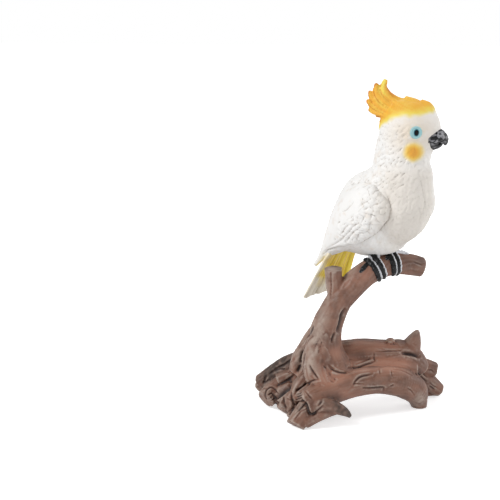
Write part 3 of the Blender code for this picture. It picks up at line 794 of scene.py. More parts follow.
@dataclass(frozen=True)
class DriftwoodPaint(PaintedResin):
    """Brown bark with painted shade in the cracks and hollows, rust patches, and grey on the ridges and
    left-facing sides that is partly dry-brushed paint and partly painted light.
    """

    brown: str = "#7A5341"
    dark_brown: str = "#634132"
    rust: str = "#A0705B"
    # Grey of the dry brush, also used as painted light on left-facing sides and edges.
    grey: str = "#A59184"
    grime: str = "#34271F"
    painted_shade: str = "#2B1A15"

    def colour(self, palette: Palette) -> Socket:
        """Mix two browns and lay rust, grey, grime and painted shade over them in turn.

        Args:
            palette: the node tree to mix it in.

        Returns:
            The colour.
        """
        mix, mask, value = palette.mix, palette.mask, palette.attribute
        colour = mix(mask(palette.noise(8.0, 5.0), 0.40, 0.60), self.dark_brown, self.brown)
        colour = mix(value("rust"), colour, self.rust)
        dabs = mask(palette.noise(4.5), 0.15, 0.60)
        # Grey on the ridge value: dry-brushed paint and painted light.
        colour = mix(palette.math("MULTIPLY", value("ridge"), dabs), colour, self.grey)
        colour = mix(value("grime"), colour, self.grime)
        # Painted shade in the hollows and the marks.
        return mix(mask(value("hollow"), 0.15, 0.95), colour, self.painted_shade)


@dataclass(frozen=True)
class DryBrushedBlack(PaintedResin):
    """Black paint with grey or silver dragged over its ridges.

    Attributes:
        black: the ground colour.
        silver: the colour of the dry brush.
        dab: width of one dab in millimetres.
        low: level of the noise where a dab begins.
        high: level of the noise where a dab is full.
    """

    specular: float = 0.25
    black: str = "#0B0B0D"
    silver: str = "#9A9CA0"
    dab: float = 0.9
    low: float = 0.36
    high: float = 0.56

    def colour(self, palette: Palette) -> Socket:
        """Mix the black with broken dabs of silver.

        Args:
            palette: the node tree to mix it in.

        Returns:
            The colour.
        """
        dabs = palette.mask(palette.noise(self.dab, 4.0), self.low, self.high)
        dry = palette.math("MULTIPLY", palette.attribute("ridge"), dabs)
        return palette.mix(dry, self.black, self.silver)


@dataclass(frozen=True)
class EyePaint(PaintedResin):
    """Pale blue bare skin round the eye, a darker ring and a black pupil, in enamel."""

    brush_depth: float = 0.0
    specular: float = 0.12
    skin: str = "#A0CBCF"
    ring: str = "#4C8793"
    pupil: str = "#060508"

    def colour(self, palette: Palette) -> Socket:
        """Mix skin, ring and pupil from the outside in.

        Args:
            palette: the node tree to mix it in.

        Returns:
            The colour.
        """
        near = palette.attribute("pupil")
        colour = palette.mix(palette.mask(near, 0.48, 0.60), self.skin, self.ring)
        return palette.mix(palette.mask(near, 0.60, 0.68), colour, self.pupil)


# The bird


def crest_feather(
    name: str,
    path: list[tuple[float, float]],
    width: float,
    offset: float,
    shrink: float,
) -> Piece:
    """Model one recurved crest feather.

    Args:
        name: name of the new object.
        path: forward and up places of its stations, in the head's axes.
        width: half of its greatest width, in millimetres.
        offset: how far its root lies to the left.
        shrink: share of the path's reach from the root that it keeps.

    Returns:
        The closed feather.
    """
    thickness = (1.15, 1.1, 1.0, 0.85, 0.42)  # from root to tip, as shares of the width
    root = path[0]
    stations = []
    for i, ((forward, up), share) in enumerate(zip(path, thickness)):
        forward = root[0] + (forward - root[0]) * shrink
        up = root[1] + (up - root[1]) * shrink
        lateral = offset * (1.0 - 0.16 * i)
        stations.append((*HEAD.at(forward, lateral, up), 0.72 * width * share, width * share))
    return sweep(name, stations, HEAD.left, steps=6, sides=18)


@dataclass
class Plumage:
    """Body, neck, head, crest and folded wings: one white skin with a coat of feathers.

    Attributes:
        grit: size of the skin's faces in millimetres.
        width_ratio: width of the body's sections as a share of their depth.
        head_radii: half length, half width and half height of the head.
        face_taper: how much narrower the head is at the beak.
        wing_thickness: greatest half thickness of a folded wing.
        line_depth: depth of the bold drawn lines.
        stroke_depth: depth of the fine brush strokes.
        edge_step: how far the wing's front edge stands proud.
        tries: points that are tried for a feather of body, neck or head.
        paint: the finish.
        back_and_belly: forward and up place and radius of the body's sections.
        breast_and_neck: the same for the upright part.
        wing: forward, left and up place, half width and share of the thickness.
        crest: forward and up stations and half width of each long feather, in the head's axes.
        crown: three such stations and the radius of each short feather.
        wing_edge: front and lower edge of the wing, forward and up in the body's axes.
        wing_outline: the whole wing in the same view.
        wing_lines: lines drawn on it.
        wing_dots: short strokes on it.
        breast_seam: line down the breast, left and up in the body's axes.
    """

    grit: float = 0.5
    width_ratio: float = 0.92
    head_radii: tuple[float, float, float] = (17.5, 15.2, 16.8)
    face_taper: float = 0.42
    wing_thickness: float = 9.5
    line_depth: float = 0.6
    stroke_depth: float = 0.18
    edge_step: float = 0.45
    tries: int = 26000
    paint: PlumagePaint = PlumagePaint("acrylic_plumage_white", 0.6, 0.14, 1.3)

    back_and_belly: tuple = (
        (-39, 5.2, 5.4), (-35.2, 8.8, 9), (-28.2, 14.8, 14.8), (-19.3, 20.6, 21), (-9.5, 27.2, 25),
        (-2.5, 32, 24.6), (4, 35, 19.3), (8, 37, 9.1),
    )
    breast_and_neck: tuple = (
        (-0.5, 11, 6), (1.4, 18, 13.8), (2.8, 24, 18.4), (4.2, 30, 21), (5.4, 38, 23.4), (7, 46, 22),
        (9, 54, 18.6), (8.8, 62, 16.2), (10.8, 70.5, 16.3), (11.6, 76.5, 15.4), (12.6, 82, 14.5),
    )
    wing: tuple = (
        (9, 19, 45.5, 7, 0.55), (5, 19, 41, 12, 0.86), (-3.8, 18.6, 34, 14.6, 1),
        (-14.5, 16.6, 23.8, 13.4, 0.95), (-26.4, 13.2, 12.6, 8.8, 0.72), (-38.6, 9, 1, 3.1, 0.34),
        (-47, 7, -8.2, 1.2, 0.12),
    )
    crest: tuple = (
        (((1, 12), (-7.6, 15), (-12.9, 18.4), (-15.5, 22.8), (-14.4, 27.4)), 3.1),
        (((-3, 10.5), (-12, 13.4), (-17.4, 17.6), (-19.8, 22), (-19.3, 25.2)), 2.4),
        (((-7, 9), (-15.4, 11.2), (-20.3, 14.9), (-22.8, 18.5), (-23.3, 20.9)), 2.1),
        (((-8, 7.6), (-16.2, 9.2), (-20.9, 11.8), (-23.5, 14.1), (-24.7, 15.7)), 2),
        (((-9, 5.6), (-14.8, 7.4), (-19, 8.3), (-22, 9.5), (-23.7, 10.7)), 2),
    )
    crown: tuple = (
        ((12, 9.9), (9, 12.9), (5.5, 16.1), 3), ((7, 11.9), (2, 14.1), (-3.6, 17.9), 3.2),
        ((2, 11.9), (-4.6, 13), (-10.5, 15), 4.4),
    )

    wing_edge: Line = (
        (13.5, 43), (14.8, 40.3), (15.2, 37.1), (14.5, 34), (12.9, 30.4), (10.1, 27.5), (6.7, 23.5),
        (4.7, 21.3), (2.1, 19), (-2.2, 16.3), (-7.4, 13.5), (-11.5, 12.7), (-17.3, 10.6), (-23.7, 8.3),
        (-30.5, 5.6), (-36.7, 1.3),
    )
    wing_outline: Line = (
        *wing_edge, (-44, -6), (-50, -8), (-42, 18), (-30, 36), (-14, 48), (4, 51), (10, 48),
    )
    wing_lines: tuple[Line, ...] = (
        (
            (-0.7, 28.2), (-4.4, 25.8), (-7.3, 22.7), (-11.8, 18.6), (-17.8, 13.9), (-24.2, 10.1),
            (-30.6, 6.5),
        ),
        ((1, 26.8), (-3, 23.5), (-5.4, 21.9), (-9.1, 18.1), (-12.8, 14.3)),
        ((2.6, 22.7), (-2, 21.3), (-4.3, 18.2), (-7.5, 14.3)),
        ((7.1, 30), (5, 27.5), (3.8, 24.3), (0.5, 22)),
        ((-4.5, 39.8), (-6.8, 37), (-10, 34.2), (-13.1, 32.9)),
        ((6.4, 42.7), (5, 41.4), (2.1, 39.7), (-0.1, 37.6)), ((7.6, 47.6), (7.4, 46.6), (6.9, 45.4)),
        ((9.8, 44.8), (9.2, 42.8)), ((5.4, 38.1), (3.2, 36.1)),
        ((12.5, 42.1), (11.3, 40.7), (8.9, 39.8), (7.1, 38)), ((8.9, 36.9), (7.9, 35.1), (8.2, 33.5)),
        ((4.3, 34.3), (3.4, 32.2), (1.8, 29.9), (0.6, 27.5)), ((-0.6, 32.6), (-1.1, 30.4)),
        ((6.8, 34.6), (6.9, 32.6), (5.9, 30.3)), ((9.2, 33.5), (9.5, 30.9), (10, 29.4)),
        ((-7.2, 26), (-9.4, 24.8), (-12.7, 21.2), (-15.4, 18.5)), ((-20.7, 15.2), (-21.4, 13.5)),
        ((-15.2, 45.8), (-12.2, 48.3)),
    )
    wing_dots: Line = (
        (-4.6, 29.1), (-5.5, 30.8), (-11, 25.8), (-15.7, 26.1), (-14.8, 47.1), (-4.3, 47.1), (-10.8, 46),
        (-11, 48.2), (-0.4, 48.7), (3.5, 48.4), (7.2, 52.4), (7.2, 49.9), (9.6, 52),
    )
    breast_seam: Line = (
        (-6.2, 52.4), (-5.3, 48.7), (-5, 46.3), (-4.2, 42.5), (-4.4, 38.9), (-5.4, 35.8), (-6.2, 31.5),
        (-4.8, 27.8),
    )

    def torso(self) -> Piece:
        """Model body, neck and head as one soft form.

        Returns:
            The closed form.
        """
        parts = []
        spines = {"back_and_belly": self.back_and_belly, "breast_and_neck": self.breast_and_neck}
        for name, spine in spines.items():
            rows = [(*BODY.at(f, 0.0, z), self.width_ratio * r, r) for f, z, r in spine]
            parts.append(sweep(name, rows, BODY.left, sides=48))
        length = self.head_radii[0]
        head = ball("head", self.head_radii, Matrix.Identity(4), 40)
        for vertex in head.data.vertices:
            vertex.co.y *= 1.0 - self.face_taper * (max(vertex.co.x, 0.0) / length) ** 2
        head.data.transform(HEAD.matrix())
        brow = ball("brow", (8.0, 7.3, 8.0), Matrix.Translation(HEAD.at(7.0, 0.0, 7.35)))
        return fuse("torso", [*parts, head, brow], 0.9, 14)

    def head_side(self, forward: float, up: float) -> float:
        """Half width of the head at a place seen from the side.

        Args:
            forward: distance in front of the head's middle.
            up: height over it.

        Returns:
            The half width in millimetres.
        """
        length, width, height = self.head_radii
        share = (forward / length) ** 2 + (up / height) ** 2
        narrowing = 1.0 - self.face_taper * (max(forward, 0.0) / length) ** 2
        return width * math.sqrt(max(1.0 - share, 0.0)) * narrowing

    def forms(self) -> list[Piece]:
        """Model the closed forms that the skin is fused from.

        Returns:
            The forms, which overlap.
        """
        parts = [self.torso()]
        for side in Side:
            rows = [
                (*BODY.at(f, side.value * l, z), thick * self.wing_thickness, half)
                for f, l, z, half, thick in self.wing
            ]
            parts.append(sweep(f"{side.name.lower()}_wing", rows, BODY.left, sides=36))
        for k, (path, width) in enumerate(self.crest):
            parts.append(crest_feather(f"crest_{k}", path, width, 0.5 * (-1) ** k, 1.0))
            if k:
                parts.append(crest_feather(f"crest_{k}_right", path, 0.8 * width, -2.0, 0.78))
                parts.append(crest_feather(f"crest_{k}_left", path, 0.8 * width, 2.0, 0.78))
        for k, (*places, radius) in enumerate(self.crown):
            shares = ((1.7, 0.8), (1.6, 1.0), (0.6, 0.35))
            rows = [
                (*HEAD.at(f, 0.0, z), w * radius, h * radius)
                for (f, z), (w, h) in zip(places, shares)
            ]
            parts.append(sweep(f"crown_{k}", rows, HEAD.left, steps=6, sides=20))
        return parts

    def flow(self, place: Vector, normal: Vector) -> Vector:
        """Direction in which the feathers lie at a place.

        Args:
            place: the place, in millimetres.
            normal: outward direction there.

        Returns:
            The direction along the skin.
        """
        head = HEAD.local(place)
        body = BODY.local(place)
        down = (-UP - 0.35 * BODY.forward).normalized()
        back = (-0.75 * BODY.forward - 0.65 * UP).normalized()
        lying = down.lerp(back, min(max(0.5 - 0.05 * (body.x - 2.0), 0.0), 1.0))
        if head.z > -16.0:
            sweep_back = (-HEAD.forward * 0.9 - UP * 0.45).normalized()
            lying = lying.lerp(sweep_back, min((head.z + 16.0) / 12.0, 1.0))
        return (lying - normal * lying.dot(normal)).normalized()

    def wing_feathers(self, skin: Skin, flat: np.ndarray, on_wing: np.ndarray) -> list[Feather]:
        """Rounded, irregular coverts in a band behind the front edge of both wings.

        Args:
            skin: the surface that carries them.
            flat: forward and up places of its points, in the body's axes.
            on_wing: which of its points lie on a wing.

        Returns:
            The coverts.
        """
        dice = random.Random(7)
        band = line_field(flat, [self.wing_edge], 8.5)
        order = list(np.flatnonzero(on_wing & (band > 0.12) & (flat[:, 0] > -16.0)))
        dice.shuffle(order)
        feathers: list[Feather] = []
        taken: set[tuple[int, ...]] = set()
        for index in order:
            place = Vector(skin.places[index])
            cell = WING_COAT.cell(place)
            if cell in taken:
                continue
            taken.add(cell)
            along = -BODY.forward * dice.uniform(0.5, 1.1) - UP * dice.uniform(0.1, 1.0)
            feathers.append(WING_COAT.feather(place, along.normalized(), dice.uniform(0.8, 1.35)))
        return feathers

    def body_feathers(self, skin: Skin) -> list[Feather]:
        """Small soft strokes over body, neck and head, larger and bolder on the nape.

        Args:
            skin: the surface that carries them.

        Returns:
            The feathers.
        """
        dice = random.Random(11)
        order = list(range(len(skin.places)))
        dice.shuffle(order)
        feathers: list[Feather] = []
        taken: set[tuple[int, ...]] = set()
        for index in order[: self.tries]:
            place = Vector(skin.places[index])
            head, body = HEAD.local(place), BODY.local(place)
            if head.z > 9.0 or (body.z < 42.0 and abs(body.y) > 17.5 and body.x < 8.0):
                continue
            nape = head.x < -2.0 and -34.0 < head.z < 6.0
            face = head.x > 2.0 and head.z > -8.0
            coat = NAPE_COAT if nape else FACE_COAT if face else BODY_COAT
            cell = coat.cell(place)
            if cell in taken:
                continue
            taken.add(cell)
            normal = Vector(skin.normals[index])
            along = self.flow(place, normal)
            stray = normal.cross(along) * dice.uniform(-coat.spread, coat.spread)
            scale = dice.uniform(0.75, 1.2)
            feathers.append(coat.feather(place, (along + stray).normalized(), scale))
        return feathers

    def crest_lanes(self, head: np.ndarray) -> tuple[np.ndarray, np.ndarray]:
        """Find where each point lies in the crest's fan.

        Args:
            head: the points in the head's axes.

        Returns:
            Number of the feather that it lies on, with the parts between two feathers, and how
            far out along the feather it is, from 0 to 1.
        """
        fan = []
        paths = np.array([path for path, _ in self.crest])
        for lane in np.linspace(-0.5, len(paths) - 0.5, 51):
            low = min(max(int(lane), 0), len(paths) - 2)
            path = paths[low] + (paths[low + 1] - paths[low]) * (lane - low)
            rows = np.array(curve_through([tuple(point) for point in path], 8))
            shares = np.linspace(0.0, 1.0, len(rows))
            fan.append(np.column_stack((rows, np.full(len(rows), lane), shares)))
        fan = np.concatenate(fan)
        tree = tree_of((row[0], row[1], 0.0) for row in fan)
        nearest = [tree.find((forward, up, 0.0))[1] for forward, _, up in head]
        return fan[nearest, 2], fan[nearest, 3]

    def drawn(self, head: np.ndarray, body: np.ndarray) -> tuple[np.ndarray, np.ndarray]:
        """Depths of the bold drawn lines, and of the fine brush strokes.

        Args:
            head: the points in the head's axes.
            body: the points in the body's axes.

        Returns:
            Depths of the bold lines and of the fine ones, from 0 to 1.
        """
        flat = body[:, (0, 2)]
        flank = np.abs(body[:, 1]) > 10.0
        short = [((x + 0.8, z + 0.8), (x, z), (x - 0.8, z - 0.6)) for x, z in self.wing_dots]
        bold = flank * line_field(flat, [*self.wing_lines, *short], 0.55)
        bold = np.maximum(bold, flank * line_field(flat, [self.wing_edge], 0.75))
        front = (body[:, 0] > 12.0) * line_field(body[:, (1, 2)], [self.breast_seam], 0.6)
        profile = head[:, (0, 2)]
        cheekward = np.abs(head[:, 1]) > 4.0
        nape = dashes(3, 75, (-17.0, -1.0, -32.0, 2.0), 38.0, 22.0, 3.2)
        bold = np.maximum(bold, 0.75 * cheekward * line_field(profile, nape, 0.5))
        dice = random.Random(5)
        rays = []
        for _ in range(90):
            angle, near = math.radians(dice.uniform(85.0, 275.0)), dice.uniform(6.5, 13.0)
            turn = angle + dice.uniform(-0.3, 0.3)
            start = (4.7 + near * math.cos(angle), near * math.sin(angle))
            end = (start[0] + 2.6 * math.cos(turn), start[1] + 2.6 * math.sin(turn))
            rays.append((start, ((start[0] + end[0]) / 2, (start[1] + end[1]) / 2), end))
        fine = cheekward * (profile[:, 1] < 9.0) * line_field(profile, rays, 0.38)
        breast = dashes(9, 190, (-8.0, 31.0, 3.0, 60.0), 80.0, 35.0, 3.4)
        off_wing = ~inside(flat, self.wing_outline)
        fine = np.maximum(fine, off_wing * line_field(flat, breast, 0.45))
        return np.maximum(bold, 0.8 * front), fine

    def carve(self, skin: Skin) -> None:
        """Press the coat of feathers, the drawn lines and the wing's edge into the skin.

        Args:
            skin: the smooth surface.
        """
        body, head = BODY.rows(skin.places), HEAD.rows(skin.places)
        flat, outside = body[:, (0, 2)], np.abs(body[:, 1]) > 8.0
        relief = feather_relief(skin, self.body_feathers(skin))
        on_wing = inside(flat, self.wing_outline) & outside
        coverts = feather_relief(skin, self.wing_feathers(skin, flat, on_wing))
        relief = np.where(on_wing, coverts, relief)
        edge = line_field(flat, [self.wing_edge], 2.6) * outside
        relief += self.edge_step * edge * np.where(on_wing, 1.0, -1.0)
        bold, fine = self.drawn(head, body)
        lane, share = self.crest_lanes(head)
        ridges = 0.5 * np.abs(np.cos(math.pi * lane)) + 0.08 * np.cos(10.0 * math.pi * lane)
        fan = unit(share * 4.0 - 0.4) * (ridges - 0.4) + 0.10 * noise_at(skin.places, 0.9)
        crest = (head[:, 2] > 6.5) & (head[:, 0] < 16.0)
        relief -= self.line_depth * bold + self.stroke_depth * fine
        skin.push(np.where(crest, fan, relief))
        self.dress(skin, (body, head, bold, fine, lane, share))

    def dress(self, skin: Skin, fields: tuple[np.ndarray, ...]) -> None:
        """Store where the colours lie.

        Args:
            skin: the carved surface.
            fields: the points in the body's and the head's axes, the bold and the fine lines, and
                the places in the crest's fan.
        """
        body, head, bold, fine, lane, share = fields
        forward, side, up = head[:, 0], np.abs(head[:, 1]), head[:, 2]
        waver = noise_at(skin.places, 0.35)
        behind, ahead = np.clip(-forward - 1.0, 0, None), np.clip(forward - 3.0, 0, None)
        line = 9.0 - 0.035 * behind**2 + 0.17 * ahead
        strands = noise_at(np.column_stack((lane * 4.0, share * 1.5, 0.0 * lane)), 1.0)
        # Painted shade in the grooves between the crest feathers.
        crest_groove_shade = np.clip(0.9 - 2.4 * np.abs(np.cos(math.pi * lane)), 0.0, 0.8)
        crest_groove_shade *= unit(3.0 * share - 0.6)
        # Painted highlight on the back half of the first crest feather.
        first = np.exp(-(((lane - 0.3) / 0.35) ** 2)) * unit(3.0 * share - 1.2)
        cheek = 6.9 - np.hypot(forward - 3.5, up + 11.2) + 0.4 * waver
        # Painted shade on the lower front of the breast, strongest on the bird's right side.
        breast = unit((body[:, 0] - 4.0 + 3.0 * waver) / 9.0) * unit((66.0 - body[:, 2]) / 10.0)
        breast *= np.clip((31.0 - np.abs(body[:, 1] + 11.0) * 1.5) / 12.0, 0.3, 1.0)
        # Painted shade in the hollows, joined with the drawn lines into the hollow value.
        hollows = (0.8 * skin.hollows(6, 0.26), 0.7 * skin.hollows(30, 1.5))
        skin.paint("crest", unit((up - line + 0.8 * waver) / 7.6 + 0.25) * (up > -2.0))
        # The streak value holds random streaks and the painted highlight.
        skin.paint("streak", unit(1.3 * first + 0.9 * strands))
        # This value holds the amber tips and the painted shade in the crest's grooves.
        skin.paint("amber_tips_and_shade", np.maximum(unit(8.0 * share - 6.8) * (lane > 0.6), crest_groove_shade))
        skin.paint("cheek", unit(cheek / 5.4) * (side > 4.0))
        skin.paint("face", unit(1.2 - np.hypot(forward - 3.0, up + 1.0) / 16.0))
        skin.paint("breast", breast)
        skin.paint("hollow", np.maximum.reduce((*hollows, 0.45 * bold, 0.3 * fine)))

    def build(self) -> None:
        """Model, carve and dress the plumage."""
        piece = fuse("plumage", self.forms(), self.grit, 3)
        self.carve(Skin(piece))
        finish_piece(piece, self.paint.build())


@dataclass
class Eye:
    """One eye: a raised disc of bare skin with a domed pupil.

    Attributes:
        side: which eye.
        plumage: the head that it sits on.
        place: forward and up place in the head's axes.
        radius: radius of the bare skin.
        pupil: half width and half height of the pupil.
        rim: height of the ring round the skin.
        dish: depth of the hollow round the pupil.
        dome: height of the pupil.
        paint: the finish.
    """

    side: Side
    plumage: Plumage
    place: tuple[float, float] = (4.7, 0.0)
    radius: float = 3.55
    pupil: tuple[float, float] = (1.4, 1.8)
    rim: float = 0.35
    dish: float = 0.25
    dome: float = 0.45
    paint: EyePaint = EyePaint("enamel_eye", 0.3)

    def placement(self) -> Matrix:
        """Place on the head's side, facing straight out of it.

        Returns:
            The matrix from the disc's own axes.
        """
        forward, up = self.place
        depth = self.plumage.head_side(forward, up)
        slope = self.plumage.head_side(forward + 1.0, up) - depth
        sign = self.side.value
        normal = (HEAD.left * sign - HEAD.forward * slope).normalized()
        along = UP.cross(normal).normalized()
        placed = Matrix((along, normal, UP)).transposed().to_4x4()
        placed.translation = HEAD.at(forward, sign * (depth - 0.1), up)
        return placed

    def build(self) -> None:
        """Model and dress the eye."""
        disc = ball("disc", (self.radius, 0.8, self.radius), Matrix.Identity(4), 64)
        disc.name = f"{self.side.name.lower()}_eye"
        near = []
        for vertex in disc.data.vertices:
            x, y, z = vertex.co
            spot = math.hypot(x / self.pupil[0], z / self.pupil[1])
            near.append(1.0 - min(spot / 2.6, 1.0) if y > 0 else 0.0)
            if y > 0:
                reach = math.hypot(x, z) / self.radius
                rim = self.rim * math.exp(-(((reach - 0.88) / 0.10) ** 2))
                dish = self.dish * math.exp(-((reach / 0.55) ** 2))
                vertex.co.y = y + rim - dish + self.dome * math.sqrt(max(1.0 - spot**2, 0.0))
        disc.data.transform(self.placement())
        attribute = disc.data.attributes.new("pupil", "FLOAT", "POINT")
        attribute.data.foreach_set("value", near)
        apply_modifier(disc, "SUBSURF", levels=1, render_levels=1)
        finish_piece(disc, self.paint.build())


@dataclass
class Beak:
    """Hooked upper beak over a deep lower one, with chipped, uneven paint.

    Attributes:
        reach: how far the hook stands in front of the head's middle.
        half_width: half of the beak's greatest width.
        paint: the finish.
        upper: forward and width as shares, height and half height of each section.
        lower: the same for the lower beak.
        gape: line between the two, seen from the side in the head's axes.
        blotches: dark strokes in the same view.
    """

    reach: float = 20.6
    half_width: float = 9.0
    paint: DryBrushedBlack = DryBrushedBlack(
        "acrylic_beak_charcoal", 0.38, silver="#A09FA3", dab=1.7, low=0.42, high=0.58
    )
    upper: tuple = (
        (0.34, -4.8, 0.96, 4.6), (0.52, -4.4, 1.03, 5), (0.68, -4.3, 0.93, 4.9), (0.8, -4.1, 0.78, 4.7),
        (0.9, -4.9, 0.58, 3.4), (0.965, -6.6, 0.38, 2), (0.975, -8.6, 0.2, 0.8),
    )
    lower: tuple = (
        (0.36, -6.6, 0.88, 3.8), (0.55, -7.4, 0.8, 3.6), (0.7, -8.3, 0.64, 3.1), (0.82, -8.4, 0.42, 1.8),
        (0.89, -8.2, 0.22, 0.8),
    )
    gape: Line = ((10.5, -4.7), (12.4, -5.9), (15.3, -7.2), (18, -6.2), (19.7, -7.2))
    blotches: tuple[Line, ...] = (
        ((12.4, -4.5), (13.8, -3.9), (15.2, -4.3)), ((17.1, -5.5), (18.2, -4.6)),
        ((10.4, -3.7), (12.8, -1.4), (15, 0.6), (16.4, 1.7)),
        ((11.4, -7.3), (12.8, -9.3), (14.6, -10.6), (17.5, -8.8)), ((14.2, -8.4), (17.5, -8.3)),
        ((20.3, -7.9), (21.8, -6.4), (21.6, -4.2)),
    )

    def build(self) -> None:
        """Model and dress the beak."""
        parts = []
        for name, profile in (("upper_beak", self.upper), ("lower_beak", self.lower)):
            rows = [
                (*HEAD.at(f * self.reach, 0.0, z), w * self.half_width, h) for f, z, w, h in profile
            ]
            parts.append(sweep(name, rows, HEAD.left, steps=5, sides=32))
        piece = fuse("beak", parts, 0.3, 2)
        skin = Skin(piece)
        side_view = HEAD.rows(skin.places)[:, ::2]
        gape = line_field(side_view, [self.gape], 0.45)
        dark = np.maximum(line_field(side_view, self.blotches, 0.95), gape)
        lumps, pits = noise_at(skin.places, 0.55), noise_at(skin.places, 1.1, (9, 4, 2))
        skin.push(0.28 * lumps - 0.5 * np.clip(pits - 0.1, 0.0, None) - 0.55 * gape)
        lighter_on_ridges = unit(0.75 - skin.hollows(8, 0.25))
        skin.paint("ridge", lighter_on_ridges * unit(1.0 - 1.2 * dark))
        finish_piece(piece, self.paint.build())


@dataclass
class TailFan:
    """Fan of square-cut tail feathers behind the fork.

    Attributes:
        feathers: number of feathers.
        length: length from root to end.
        width: width at the end.
        thickness: thickness near the end.
        skew: how far the near corner trails behind the far one.
        paint: the finish.
    """

    feathers: int = 7
    length: float = 30.5
    width: float = 31.0
    thickness: float = 2.5
    skew: float = 4.0
    paint: TailPaint = TailPaint("acrylic_tail_yellow", 0.5)

    def build(self) -> None:
        """Model and dress the tail."""
        slope = Vector((-12.6, 0.0, -28.2)).normalized() * self.length
        across, thick = self.width / self.feathers, self.thickness
        parts = []
        for k in range(self.feathers):
            lane, step = 2 * k / (self.feathers - 1) - 1, 0.6 * (k % 2)
            spread, trail = lane * self.width, self.skew * lane
            inner = (-26.0 - step, 0.33 * spread, 9.0)
            middle = (-32.0 - step, 0.39 * spread, 2.0)
            end = (-32.0 + slope.x + trail - step, 0.435 * spread, 2.0 + slope.z + 0.4 * trail)
            rows = [
                (*BODY.at(*inner), 0.50 * across, 0.80 * thick),
                (*BODY.at(*middle), 0.62 * across, 0.60 * thick),
                (*BODY.at(*end), 0.78 * across, 0.45 * thick),
            ]
            parts.append(sweep(f"tail_{k}", rows, BODY.left, steps=8, sides=20))
        piece = fuse("tail_fan", parts, 0.36, 1)
        skin = Skin(piece)
        local = BODY.rows(skin.places)
        barb = noise_at(local[:, (1, 2, 0)] * (1.3, 0.05, 0.2), 1.0)
        skin.push(0.22 * barb)
        waver = noise_at(local, 0.15)
        edge = unit((-local[:, 1] - 12.0 + 2.5 * waver) / 4.5)
        end = unit((-local[:, 2] - 0.35 * local[:, 1] - 15.5 + 5.0 * waver) / 9.0)
        skin.paint("fade", unit(edge + end))
        skin.paint("streak", unit(0.5 + barb))
        # Painted shade in the tail's grooves.
        skin.paint("hollow", skin.hollows(6, 0.18))
        finish_piece(piece, self.paint.build())


# The driftwood


@dataclass(frozen=True)
class Cut:
    """A saw cut.

    Attributes:
        place: a point on the cut.
        outward: direction of the side that falls off.
        reach: how far from the point the saw reaches, in millimetres.
    """

    place: tuple[float, float, float]
    outward: tuple[float, float, float]
    reach: float = math.inf

    def apply(self, piece: Piece) -> None:
        """Saw a piece here and close the cut.

        Args:
            piece: the closed piece to saw.
        """
        with editing(piece):
            bpy.ops.mesh.select_all(action="DESELECT")
            shape = bmesh.from_edit_mesh(piece.data)
            for face in shape.faces:
                face.select_set((face.calc_center_median() - Vector(self.place)).length < self.reach)
            bmesh.update_edit_mesh(piece.data)
            bpy.ops.mesh.bisect(
                plane_co=self.place, plane_no=self.outward, use_fill=True, clear_outer=True
            )


@dataclass(frozen=True)
class Branch:
    """One branch, root or stick.

    Attributes:
        name: what it is.
        stations: (x, y, z, radius) along it, in millimetres.
        fluting: depth of the ridges that run along it.
        square: from 0 for a round section to 1 for a square one.
        cut: where its end is sawn off before it is fused.
    """

    name: str
    stations: tuple
    fluting: float = 0.5
    square: float = 0.0
    cut: Cut | None = None

    def rows(self, steps: int) -> list[tuple[float, ...]]:
        """Stations with smooth rows between them."""
        return curve_through(list(self.stations), steps)


LIMB = Branch("trunk_and_limb", (
    (-6.7, 2, 16.1, 13.5), (-13, 1, 32.1, 12.3), (-15, 0, 42.8, 10.6), (-14, 0, 53.5, 9.4),
    (-10.5, 1, 62.4, 8.2), (-6.5, 2.2, 70.5, 7.8), (-1, 3.8, 76.7, 7.6), (4.2, 5.5, 82.1, 7.5),
    (10.6, 8.2, 86.3, 7.2), (19.1, 12, 89.2, 6.7), (27.6, 16, 89.5, 6.5), (35.6, 19.5, 87.9, 6.3),
    (41.2, 22, 86.2, 5.9), (45, 23.6, 84.8, 5.7),
), 0.35)

